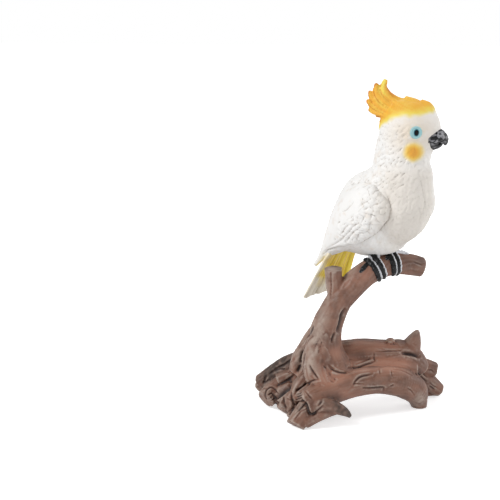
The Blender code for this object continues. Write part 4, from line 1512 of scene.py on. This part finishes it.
BRANCHES = (
    LIMB,
    Branch("fork_stub", (
        (-7.5, 2.2, 70.5, 5.4), (-9.5, 2.6, 79, 5.2), (-10.5, 2, 85.7, 5), (-10.9, 1.8, 92, 5.5),
    ), 0.3),
    Branch("buttress_left", (
        (-15, 0, 57.1, 5.9), (-22.5, 3, 41.9, 6.6), (-28, 4.8, 32, 6.8), (-30, 6, 24, 6.5),
    ), 0.9),
    Branch("buttress_front", (
        (-15, 0, 57.1, 5.9), (-19.4, -4, 42, 6.8), (-20.5, -7.4, 32, 7.4), (-16.5, -9, 24, 7.6),
        (-8, -6.5, 20, 7),
    ), 0.8),
    Branch("back_log", (
        (-20, 13, 23.2, 9.9), (-8.8, 15, 27, 12.1), (6.2, 19, 29.3, 11.6), (21.4, 21.5, 29, 11),
        (31, 23.5, 28, 11.4), (37.5, 25.5, 25, 9.6), (43, 28, 19.5, 6.5),
    ), 0.45),
    Branch("spur", (
        (35, 24, 29, 7.2), (38.2, 24, 38.6, 5), (40.2, 24, 44.8, 2), (40.4, 24, 46.5, 0.6),
    ), 0.25),
    Branch("front_root", (
        (-31, -21.5, 7, 8.6), (-24.8, -17.2, 12.1, 8.6), (-19, -13.5, 15.7, 8.8), (-8.3, -7.5, 19.1, 8.9),
        (4, -2, 21, 8.4), (17, 3, 21.2, 8.3), (30.3, 8.5, 18.4, 9), (39, 13, 11.7, 8.1),
        (42, 16.5, 4.2, 5.8), (42.8, 17.2, -1, 4.6),
    ), 0.3, 0, Cut((-25.5, -19, 10), (-0.8, -0.5, -0.3), 40)),
    Branch("web", ((-12, 4, 23, 10), (6, 8.5, 24, 8.5), (23, 13, 24, 8), (38, 18, 20, 8)), 0.35),
    Branch("upper_knob", ((33, 26, 23.5, 6), (45, 32, 20, 5.5), (53, 34, 17.5, 4.5))),
    Branch("rear_foot_knob", ((33, 26, 19, 6), (48, 34, 10, 5.5), (56, 37.5, 3, 4.5))),
    Branch("rear_foot_pad", ((40, 31, 15, 6), (47, 37, 7, 5.5), (50, 39.5, -1, 4.5))),
    Branch("stick_behind", (
        (-20, 13, 32, 5.3), (-39, 18.5, 22.8, 5.6), (-54.2, 22.5, 9.2, 5.7),
    ), 0.5, 0.5),
    Branch("stick_outer", ((-23, 20, 27, 5.3), (-42, 26, 16, 5.6), (-55, 29, 4, 5.7)), 0.5, 0.5),
    Branch("stick_spiral_end", (
        (-23, 11, 25.5, 5.3), (-42, 10.5, 12.5, 6), (-50, 3.5, 6.4, 6.2),
    ), 0.5, 0.2),
    Branch("stick_short", ((-20, 3, 22, 5.3), (-32, 0, 12.5, 5.6), (-40, -4, 5, 5.7)), 0.5, 0.85),
    Branch("stick_notched", (
        (-19, 0, 28, 5.3), (-27.5, -4.5, 19, 5.6), (-31.8, -8.5, 10.5, 5.7),
    ), 0.5, 0.8),
    Branch("root_forward", (
        (-15.8, -11, 18, 5.3), (-24, -18, 11, 5.6), (-30.5, -24.5, 1.6, 5.7),
    ), 0.5, 0.6),
    Branch("root_behind", ((-12, 18, 26, 5.3), (-22, 30, 13, 5.6), (-30, 37, -1, 5.7))),
    Branch("root_rear", ((-16, 20, 24, 5.3), (-32, 31, 12, 5.6), (-43, 37, 1, 5.7))),
    Branch("root_inner", ((-16, 0, 15, 5.3), (-26, -6, 6, 5.6), (-32, -11, -1, 5.7))),
    Branch("thorn_twig", (
        (-22.5, -20, 12, 4.8), (-14, -21.5, 13.8, 4.4), (-7, -21.2, 12, 3.6), (-2, -19.8, 9.2, 2.5),
        (1, -18.5, 6.2, 1.2),
    ), 0.2),
    Branch("thorn_root", (
        (-25, -23.8, 3.2, 3.4), (-18.5, -22.8, 6.2, 3), (-12, -22, 9.2, 2.9), (-5.5, -21, 10.8, 2.2),
    ), 0.2),
    Branch("stick_block", ((-24, 9, 25, 4.6), (-34, 8.3, 20.6, 5.1), (-42.6, 7.3, 16.4, 5.1)), 0.4, 0.8),
)

# Direction of the limb between the feet, and the cuts through the fused wood: limb, stub, ground
LIMB_SIDE = Vector((0.92, 0.36, 0.1)).normalized()
CUTS = (
    Cut((41.3, 22, 86.2), (0.9, 0.3, -0.3), 9.5),
    Cut((-10.9, 1.8, 89.2), (-0.05, -0.1, 1), 8.5),
    Cut((0, 0, 0), (0, 0, -1)),
)

# Lines of the driftwood as the sculptor draws them on the front view: across and height
FRONT_ACROSS = Vector((0.9961, 0.0887, 0.0))
FRONT_HEIGHT = Vector((-0.0214, 0.2402, 0.9705))
# The gaps, cracks, scratches and rungs are carved in and hold painted shade.
GAPS: tuple[Line, ...] = (
    ((-3.7, 63), (-5.2, 60.2), (-5.4, 57), (-6.2, 53.9), (-7.5, 51.2)),
    ((-27.9, 38.4), (-28.6, 35.6), (-28.9, 31.4)), ((-29.1, 29.4), (-30.5, 26.9), (-31.6, 25.1)),
    ((33.1, 36.3), (37.4, 36), (41.2, 35), (43.4, 33.8)),
    ((-34.4, 19.5), (-35.7, 17.1), (-38.7, 14.7), (-41.4, 12.3), (-42.9, 9.1), (-43.2, 5.6)),
    ((-32.2, 6.6), (-30.6, 6.9), (-27.5, 8.9)),
)
CRACKS: tuple[Line, ...] = (
    (
        (-28.7, 11.1), (-27.3, 9.1), (-26.1, 7.5), (-25, 4.4), (-23.8, 3.2), (-21.6, 3.8), (-19.4, 6),
        (-17.1, 8.4),
    ),
    ((-9.7, 49.8), (-10.7, 47.4), (-11.2, 44.7)), ((-21.7, 53.8), (-22.9, 50.7), (-25, 47.1)),
    ((-24.2, 31.1), (-23.1, 28.5), (-21.2, 25.9), (-19.2, 23.2)),
    ((-19.1, 22.9), (-22.9, 21.8), (-26.5, 18.7), (-28.8, 17.1), (-31.6, 15.9)),
    ((-12.9, 30.9), (-11.4, 28.6), (-8.6, 27.2), (-5.4, 26.3), (-2.6, 26.2)),
    ((-0.9, 28.7), (4.3, 28.7), (7.6, 29.7), (10.9, 30.8), (13.4, 31.4), (15.8, 32.4)),
    ((1.8, 19.9), (3, 21.7), (4.7, 23.4), (7.2, 24.5), (10, 24.9), (12.9, 25.5)),
    ((7.5, 17.3), (11.6, 16.9), (15.6, 17), (19.6, 17), (20, 15.3)),
    ((40.6, 24.3), (46, 20.6), (49.2, 17.6)), ((-34.3, 32), (-36.7, 29.8), (-39.9, 27.3), (-43.7, 25.7)),
    ((-46.3, 22.9), (-43.9, 24.6), (-40.3, 25.7), (-36.3, 25.4)),
    ((-32.9, 22.8), (-35.6, 20.7), (-38.9, 18.7), (-42.5, 16.7)),
    ((-35.1, 16.1), (-34.6, 12.8), (-33.8, 8.5), (-33, 5.9)), ((-17.7, 11.4), (-19.4, 8.8)),
    ((-49.1, 21.1), (-50, 18.5), (-50.6, 16.8), (-49.2, 17), (-46.7, 18.9)),
    ((-33, 5.7), (-34.8, 2.9), (-36.3, 0.8)), ((52.1, 14.2), (54.8, 12.1)),
)
SCRATCHES: tuple[Line, ...] = (
    ((-21.8, 48), (-24.3, 45.6), (-25.9, 42.9)), ((-11.9, 30.4), (-9.8, 28.5)),
    ((-16.1, 30.6), (-14.8, 29.2)), ((4, 30.5), (6.4, 31.2), (9.4, 32.2), (12.8, 33.3)),
    ((2.2, 20), (4.2, 20), (7.4, 19.7)), ((23.9, 17.8), (25.7, 18.5)),
    ((16.2, 37.4), (20.3, 37.4), (24.3, 37.7), (28.3, 37.7), (31.6, 37.9)),
    ((26, 27.5), (30.6, 27), (33.8, 25.8), (37.5, 23.6)), ((46.5, 23.1), (49.4, 20)),
    ((50.3, 24.6), (52.4, 24.5), (53.9, 23.2)), ((51.9, 16.5), (53.8, 14.7), (56, 13.3)),
    ((15.3, 36.3), (15.3, 32.7)), ((17.5, 27.7), (17.5, 25.2)), ((24.7, 26.8), (24.9, 23.8)),
    ((-26.5, 15.9), (-24.7, 13.8), (-23.2, 12.3)), ((-26.9, 6.2), (-29.3, 5.1), (-31.2, 2.9), (-33, 1)),
    ((-30.8, 6.2), (-32.9, 4.2), (-34.3, 2.5)), ((-39.1, 11.1), (-38.4, 6.2), (-37.1, 1.7)),
    ((-12.2, 85.5), (-11.8, 77.9), (-12.1, 70.3)), ((37.6, 91.2), (40.1, 90.2), (42.2, 89.4)),
    ((34.8, 16), (37, 14.4), (39.1, 11.7)),
)
RUNGS: tuple[Line, ...] = (
    ((-48.2, 11.2), (-46.1, 12.2), (-44.8, 11.2), (-44.5, 9.2), (-45.8, 7.9)),
    ((-49, 8.4), (-49.8, 11.2), (-49.1, 13.8), (-46.7, 15.5), (-44.3, 14.8), (-43.1, 12.8)),
    ((-46.4, 9.8), (-46, 9.1)), ((-31.7, 15.1), (-29.1, 16.9)), ((-31.6, 13.7), (-28.8, 16)),
    ((-31.5, 11.8), (-28.8, 14.6)), ((-31.5, 10.2), (-28.8, 12.7)), ((-31.5, 8.2), (-28.6, 11.1)),
    ((-31.7, 8), (-28.2, 9.8)),
)
RUST_STROKES: tuple[Line, ...] = (
    ((-8.8, 38.7), (-3.2, 31.8), (6.3, 29.1), (18.5, 30.8), (30.8, 30.3), (42.5, 28.2)),
    ((-1.9, 41.8), (10.2, 41.6), (22.3, 40.4), (31.4, 40.1)), ((-32.5, 22.1), (-30.3, 22.3)),
    ((-7.7, 13.3), (-2.9, 14.8), (3.2, 15.7)), ((0.2, 79.1), (6, 83.2), (9.6, 87.7)),
    ((-0.6, 85.4), (4.2, 89.4), (7.7, 91.7)), ((-16, 25), (-9.9, 24.6), (-3.4, 24.5)),
)
# Pale strokes on the left of the trunk: grey paint that is partly a painted highlight.
PALE_STROKES: tuple[Line, ...] = (
    ((-26.8, 46.1), (-28, 35.3), (-28.8, 26.1)), ((-21.9, 43.4), (-23.5, 32.5), (-21.7, 28.1)),
    ((-14.5, 62.4), (-20.1, 50), (-24.6, 39.9)), ((-17.2, 54.7), (-21, 44.9), (-21.2, 36.5)),
    ((42.3, 11), (44, 6.1)),
)

# Stains that follow the wood in space
THORN_TIP: Line = ((-14, -21.5, 13.6), (-7, -21.2, 12), (-2, -19.8, 9.2), (6, -17, 2))
LIMB_END: Line = ((29, 17, 90), (36, 20, 88), (42, 22, 86), (50, 25, 83))
STICK_TOPS: Line = ((-34, 15, 29), (-44, 17, 23.5), (-53, 19, 16))


@dataclass(frozen=True)
class Marks:
    """A set of marks scratched into the wood.

    Attributes:
        lines: the marks on the front view.
        width: distance in millimetres at which a mark has faded to about a third.
        depth: depth of a mark in millimetres.
        painted_shade: how dark the painted shade sits in it.
    """

    lines: tuple[Line, ...]
    width: float
    depth: float
    painted_shade: float


@dataclass
class Driftwood:
    """The branch that the bird grips, with its logs, roots and broken sticks.

    Attributes:
        grit: size of the skin's faces in millimetres.
        paint: the finish.
        marks: what is scratched into the wood.
        bark: width, length and start of the noise of broad and fine ridges, cracks and flutes.
    """

    grit: float = 0.55
    paint: DriftwoodPaint = DriftwoodPaint("acrylic_bark_brown", 0.55, 0.08, 1.5)
    marks: tuple[Marks, ...] = (
        Marks(GAPS, 1.3, 2.8, 1.1),
        Marks(CRACKS, 0.7, 1.2, 0.8),
        Marks(SCRATCHES, 0.5, 0.6, 0.5),
        Marks(RUNGS, 0.5, 1.0, 0.9),
    )
    bark: tuple = (
        (5.5, 24.0, (1, 0, 0)),
        (1.7, 13.0, (0, 1, 0)),
        (3.2, 20.0, (0, 0, 1)),
        (3.0, 30.0, (1, 1, 0)),
    )

    def forms(self) -> list[Piece]:
        """Model every branch and the core under the sticks.

        Returns:
            The closed forms, which overlap.
        """
        parts = []
        for branch in BRANCHES:
            rows = [(*station, station[3]) for station in branch.stations]
            parts.append(sweep(branch.name, rows, Vector((0.0, 1.0, 0.0)), 6, 36, branch.square))
            if branch.cut:
                branch.cut.apply(parts[-1])
        parts.append(ball("log_bump", (3.0, 3.0, 1.6), Matrix.Translation((24.4, 19.5, 40.4))))
        parts.append(ball("core", (19.0, 20.0, 12.5), Matrix.Translation((-27.0, 8.0, 8.0))))
        return parts

    def grain(self, skin: Skin) -> np.ndarray:
        """Height of the bark: long ridges and cracks that follow the nearest branch.

        Args:
            skin: the smooth surface.

        Returns:
            Heights in millimetres, one for each point.
        """
        samples = []
        for number, branch in enumerate(BRANCHES):
            rows = branch.rows(10)
            travelled = 0.0
            for low, high in zip(rows, rows[1:]):
                start, end = Vector(low[:3]), Vector(high[:3])
                samples.append((start, (end - start).normalized(), travelled, low[3], number))
                travelled += (end - start).length
        tree = tree_of(sample[0] for sample in samples)
        heights = np.zeros(len(skin.places))
        for i, place in enumerate(skin.places):
            best = min(tree.find_n(place, 8), key=lambda hit: abs(hit[2] - samples[hit[1]][3]))
            centre, along, travelled, radius, number = samples[best[1]]
            offset = Vector(place) - centre
            shift = travelled + offset.dot(along)
            spoke = (offset - along * offset.dot(along)).normalized() * radius
            seed = 17.0 * number
            broad, fine, crack, ridged = (
                noise.noise(spoke / width + along * (shift / length) + Vector(start) * seed)
                for width, length, start in self.bark
            )
            patch = noise.noise(Vector(place) / 14.0 + Vector((0, seed, seed)))
            flute = BRANCHES[number].fluting
            split = math.exp(-((crack / 0.05) ** 2)) * min(max(4.0 * patch, 0.0), 1.0)
            heights[i] = flute * (1.2 * broad + 0.3 * fine + 1.6 * min(abs(ridged) - 0.15, 0.22))
            heights[i] -= 1.2 * flute * split
        return heights

    def carve(self, skin: Skin) -> None:
        """Press bark and the drawn marks into the skin, and dress it.

        Args:
            skin: the smooth surface.
        """
        heights = skin.blurred(self.grain(skin), 2)
        flat = skin.places @ np.array([FRONT_ACROSS, FRONT_HEIGHT]).T
        facing = unit(-3.0 * skin.normals[:, 1])
        drawn = np.zeros(len(skin.places))
        for marks in self.marks:
            near = facing * line_field(flat, marks.lines, marks.width)
            heights -= marks.depth * near
            # Painted shade in each mark.
            drawn = np.maximum(drawn, marks.painted_shade * near)
        skin.push(heights * unit(skin.places[:, 2] / 2.0))
        self.dress(skin, flat, facing, drawn)

    def dress(self, skin: Skin, flat: np.ndarray, facing: np.ndarray, drawn: np.ndarray) -> None:
        """Store where the painted shade, the rust, the grime and the grey lie; the grey is dry-brushed
        paint and partly painted light.

        Args:
            skin: the carved surface.
            flat: across and height of each point on the front view.
            facing: how far each point faces the viewer.
            drawn: how dark the painted shade sits in the drawn marks.
        """
        # Painted shade in the fine, broad and deep hollows and in the marks.
        fine, broad, deep = skin.hollows(5, 0.30), skin.hollows(40, 1.5), skin.hollows(140, 5.0)
        skin.paint("hollow", unit(np.maximum.reduce((0.9 * fine, 0.9 * broad, 0.8 * deep, drawn))))
        # Grey on faces turned to the left is partly the wood's grey and partly painted light from the
        # left; along the pale strokes it is partly a painted highlight.
        pale = np.clip(-1.3 * skin.normals[:, 0] - 0.3, 0.0, 0.5)
        pale = np.maximum(pale, 0.95 * facing * line_field(flat, PALE_STROKES, 3.0))
        # Grey on the convex edges: dry-brushed paint and a painted highlight.
        lighter_on_ridges = np.clip(-1.4 * fine - 0.25, 0.0, 0.7)
        skin.paint("ridge", unit(np.maximum(pale, lighter_on_ridges) - 0.8 * fine - 0.3 * broad))
        patch, spots = noise_at(skin.places, 0.09), noise_at(skin.places, 0.45)
        strokes = facing * line_field(flat, RUST_STROKES, 4.2)
        skin.paint("rust", np.clip(0.75 * strokes + patch * (strokes + 0.35), 0.0, 0.8))
        thorn = line_field(skin.places, [THORN_TIP], 4.8)
        sticks = line_field(skin.places, [STICK_TOPS], 8.5)
        sawn = line_field(skin.places, [LIMB_END], 7.0)
        grime = 1.2 * thorn * (0.9 + spots) + sticks * (0.8 + patch + 0.8 * spots) + 0.35 * sawn
        skin.paint("grime", np.clip(grime, 0.0, 0.9))

    def build(self) -> None:
        """Model, carve and dress the driftwood."""
        piece = fuse("driftwood", self.forms(), self.grit, 1)
        for cut in CUTS:
            cut.apply(piece)
        with editing(piece):
            bpy.ops.mesh.select_all(action="SELECT")
            bpy.ops.mesh.quads_convert_to_tris()
        self.carve(Skin(piece))
        finish_piece(piece, self.paint.build())


@dataclass
class Foot:
    """One foot: two front toes and a back toe that wrap the limb, and toes along it.

    Attributes:
        name: name of the piece.
        place: where on the limb it grips, as its x.
        hind_reach: how far the hind toe runs towards the trunk.
        side_reach: how far a toe runs along the top towards the sawn end.
        toe: half width and half thickness of a toe.
        toe_gap: distance between the two front toes.
        paint: the finish.
    """

    name: str
    place: float
    hind_reach: float
    side_reach: float
    toe: tuple[float, float] = (1.95, 1.35)
    toe_gap: float = 3.2
    paint: DryBrushedBlack = DryBrushedBlack(
        "acrylic_foot_black", 0.32, silver="#DDDEE2", dab=1.1, low=0.26, high=0.44
    )

    def limb(self, x: float) -> tuple[Vector, Vector, float]:
        """Centre, direction and radius of the limb where its axis passes x.

        Args:
            x: the place along the limb.

        Returns:
            The centre, the direction and the radius.
        """
        rows = [row for row in LIMB.rows(8) if row[2] > 71.0]
        for low, high in zip(rows, rows[1:]):
            if low[0] <= x <= high[0]:
                share = (x - low[0]) / (high[0] - low[0])
                start, end = Vector(low[:3]), Vector(high[:3])
                return start.lerp(end, share), (end - start).normalized(), low[3]
        raise ValueError("the limb does not pass that x")

    def path(
        self, x: float, start: float, end: float, run: float, scale: float = 1.0
    ) -> list[tuple[float, ...]]:
        """Stations of one toe.

        Args:
            x: where on the limb it starts.
            start: angle round the limb at the foot, in degrees from the top.
            end: the same angle at the claw.
            run: how far it moves along the limb.
            scale: its thickness as a share of a front toe's.

        Returns:
            Places with half width and half thickness, which swell a little at each knuckle.
        """
        bends = 25
        rows = []
        for step in range(bends):
            part = step / (bends - 1)
            centre, along, radius = self.limb(x + run * part)
            near = along.cross(UP).normalized()
            top = near.cross(along).normalized()
            angle = math.radians(start + (end - start) * part)
            size = scale * (1.0 + 0.06 * math.cos(2 * math.pi * 6.5 * part))
            size *= 1.0 - 1.9 * max(part - 0.74, 0.0)
            reach = radius + 0.2 * self.toe[1]
            place = centre + top * (math.cos(angle) * reach) + near * (math.sin(angle) * reach)
            rows.append((*place, self.toe[0] * size, self.toe[1] * size))
        return rows

    def build(self) -> None:
        """Model the foot and drag silver along the outer edges of its toes."""
        centre, _, radius = self.limb(self.place)
        ankle = ball("ankle", (3.6, 3.2, 2.6), Matrix.Translation(centre + UP * (radius + 1.0)), 20)
        inner, outer = self.place + 0.5 * self.toe_gap, self.place - 0.5 * self.toe_gap
        bands = [self.path(x, -10.0, 150.0, 1.4) for x in (inner, outer)]
        others = [
            self.path(inner, 10.0, -140.0, 1.0),
            self.path(outer + 1.2, 20.0, 44.0, self.hind_reach, 0.7),
            self.path(inner, -12.0, 10.0, self.side_reach, 0.8),
        ]
        parts = [sweep("toe", rows, LIMB_SIDE, steps=2, sides=18) for rows in bands + others]
        piece = fuse(self.name, [ankle, *parts], 0.26, 1)
        skin = Skin(piece)
        scales = noise_at(skin.places, 1.1)
        skin.push(0.22 * scales)
        centres = tree_of(row[:3] for row in bands[0] + bands[1])
        offsets = [(Vector(place) - centres.find(place)[0]).dot(LIMB_SIDE) for place in skin.places]
        silver = unit(4.0 * np.array(offsets) / self.toe[0] - 1.2 + 1.2 * scales)
        lighter_on_ridges = np.clip(-skin.hollows(8, 0.22) - 0.35, 0.0, 0.45)
        skin.paint("ridge", np.maximum(silver, lighter_on_ridges))
        finish_piece(piece, self.paint.build())


# Studio


@dataclass
class Studio:
    """Pale floor, soft lamps, white surroundings and the camera.

    Attributes:
        camera_place: place of the camera in the sculptor's frame, in millimetres.
        yaw: turn of the camera to the left, in degrees.
        pitch: tilt of the camera, in degrees.
        lens: focal length in millimetres, on a sensor 36 mm wide.
        lamps: name, place and size in metres, and power in watts of each soft box.
        paper: colour of the floor.
        glow_reach: where the floor's glow starts to grow and where it is full, in metres.
        glow_levels: strength of the glow under the figurine and far from it.
    """

    camera_place: tuple[float, float, float] = (0.0, -664.65, 265.72)
    yaw: float = 5.0897
    pitch: float = -13.956
    lens: float = 85.0
    lamps: tuple = (
        ("key", (-0.80, -0.55, 0.90), 0.40, 9.4),
        ("fill", (0.55, -0.9, 0.35), 0.8, 2.4),
        ("rim", (0.95, 0.30, 0.55), 0.6, 4.4),
        ("back", (0.0, 0.8, 0.9), 0.6, 2.5),
    )
    paper: str = "#E8E8E8"
    glow_reach: tuple[float, float] = (0.08, 0.45)
    glow_levels: tuple[float, float] = (0.60, 1.0)

    def camera(self) -> None:
        """Place the camera where the photographer stood."""
        lens = bpy.data.cameras.new("camera")
        lens.lens = self.lens
        lens.sensor_width = 36.0
        lens.clip_start = 0.01
        holder = bpy.data.objects.new("camera", lens)
        bpy.context.scene.collection.objects.link(holder)
        holder.location = (Vector(self.camera_place) + TO_MODEL) * MM
        turn = (math.radians(90.0 + self.pitch), 0.0, math.radians(self.yaw))
        holder.rotation_euler = Euler(turn)
        bpy.context.scene.camera = holder

    def lamp(self, name: str, place: tuple[float, ...], size: float, power: float) -> None:
        """Add a square soft box that faces the figurine.

        Args:
            name: name of the lamp.
            place: its place in metres.
            size: length of its sides in metres.
            power: its power in watts.
        """
        light = bpy.data.lights.new(name, "AREA")
        light.size = size
        light.energy = power
        holder = bpy.data.objects.new(name, light)
        bpy.context.scene.collection.objects.link(holder)
        holder.location = place
        aim = Vector((0.0, 0.0, 0.1)) - Vector(place)
        holder.rotation_euler = aim.to_track_quat("-Z", "Y").to_euler()

    def floor(self) -> None:
        """Lay a pale floor that keeps the shadow and reads white to the camera."""
        pick()
        bpy.ops.mesh.primitive_plane_add(size=6.0, location=(0.0, 0.0, -0.0002))
        plane = bpy.context.object
        plane.name = "floor"
        material = bpy.data.materials.new("seamless_paper_white")
        material.use_nodes = True
        tree = material.node_tree
        inputs = tree.nodes["Principled BSDF"].inputs
        inputs["Base Color"].default_value = linear(self.paper)
        inputs["Roughness"].default_value = 0.9
        inputs["Emission Color"].default_value = (1.0, 1.0, 1.0, 1.0)
        palette = Palette(tree)
        rays = add_node(tree, "ShaderNodeLightPath").outputs
        seen = palette.math("MAXIMUM", rays["Is Camera Ray"], rays["Is Glossy Ray"])
        place = add_node(tree, "ShaderNodeTexCoord").outputs["Object"]
        away = add_node(tree, "ShaderNodeVectorMath", {0: place}, operation="LENGTH")
        links = {"Value": away.outputs["Value"]}
        links |= dict(zip(("From Min", "From Max"), self.glow_reach))
        links |= dict(zip(("To Min", "To Max"), self.glow_levels))
        level = add_node(tree, "ShaderNodeMapRange", links, interpolation_type="SMOOTHSTEP")
        glow = palette.math("MULTIPLY", seen, level.outputs["Result"])
        tree.links.new(glow, inputs["Emission Strength"])
        plane.data.materials.append(material)

    def surroundings(self) -> None:
        """Fill the room with soft light, and show it white to the camera."""
        world = bpy.data.worlds.new("white_room")
        bpy.context.scene.world = world
        world.use_nodes = True
        tree = world.node_tree
        tree.nodes.clear()
        rays = add_node(tree, "ShaderNodeLightPath")
        seen = add_node(tree, "ShaderNodeBackground", {"Color": (1, 1, 1, 1), "Strength": 1.0})
        fill = add_node(tree, "ShaderNodeBackground", {"Color": (0.95, 0.97, 1, 1), "Strength": 0.38})
        shares = {0: rays.outputs["Is Camera Ray"], 1: fill.outputs[0], 2: seen.outputs[0]}
        chosen = add_node(tree, "ShaderNodeMixShader", shares)
        add_node(tree, "ShaderNodeOutputWorld", {"Surface": chosen.outputs[0]})

    def build(self) -> None:
        """Set up the whole studio."""
        bpy.context.scene.view_settings.view_transform = "Standard"
        self.camera()
        self.floor()
        self.surroundings()
        for lamp in self.lamps:
            self.lamp(*lamp)


def main() -> None:
    """Build every sub-assembly in order."""
    logging.basicConfig(level=logging.INFO, format="%(name)s: %(message)s")
    plumage = Plumage()
    plumage.build()
    for side in Side:
        Eye(side, plumage).build()
    Beak().build()
    TailFan().build()
    Driftwood().build()
    Foot("right_foot", 13.0, -7.0, 1.0).build()
    Foot("left_foot", 22.4, -3.5, 8.0, toe_gap=2.7).build()
    Studio().build()


if __name__ == "__main__":
    main()
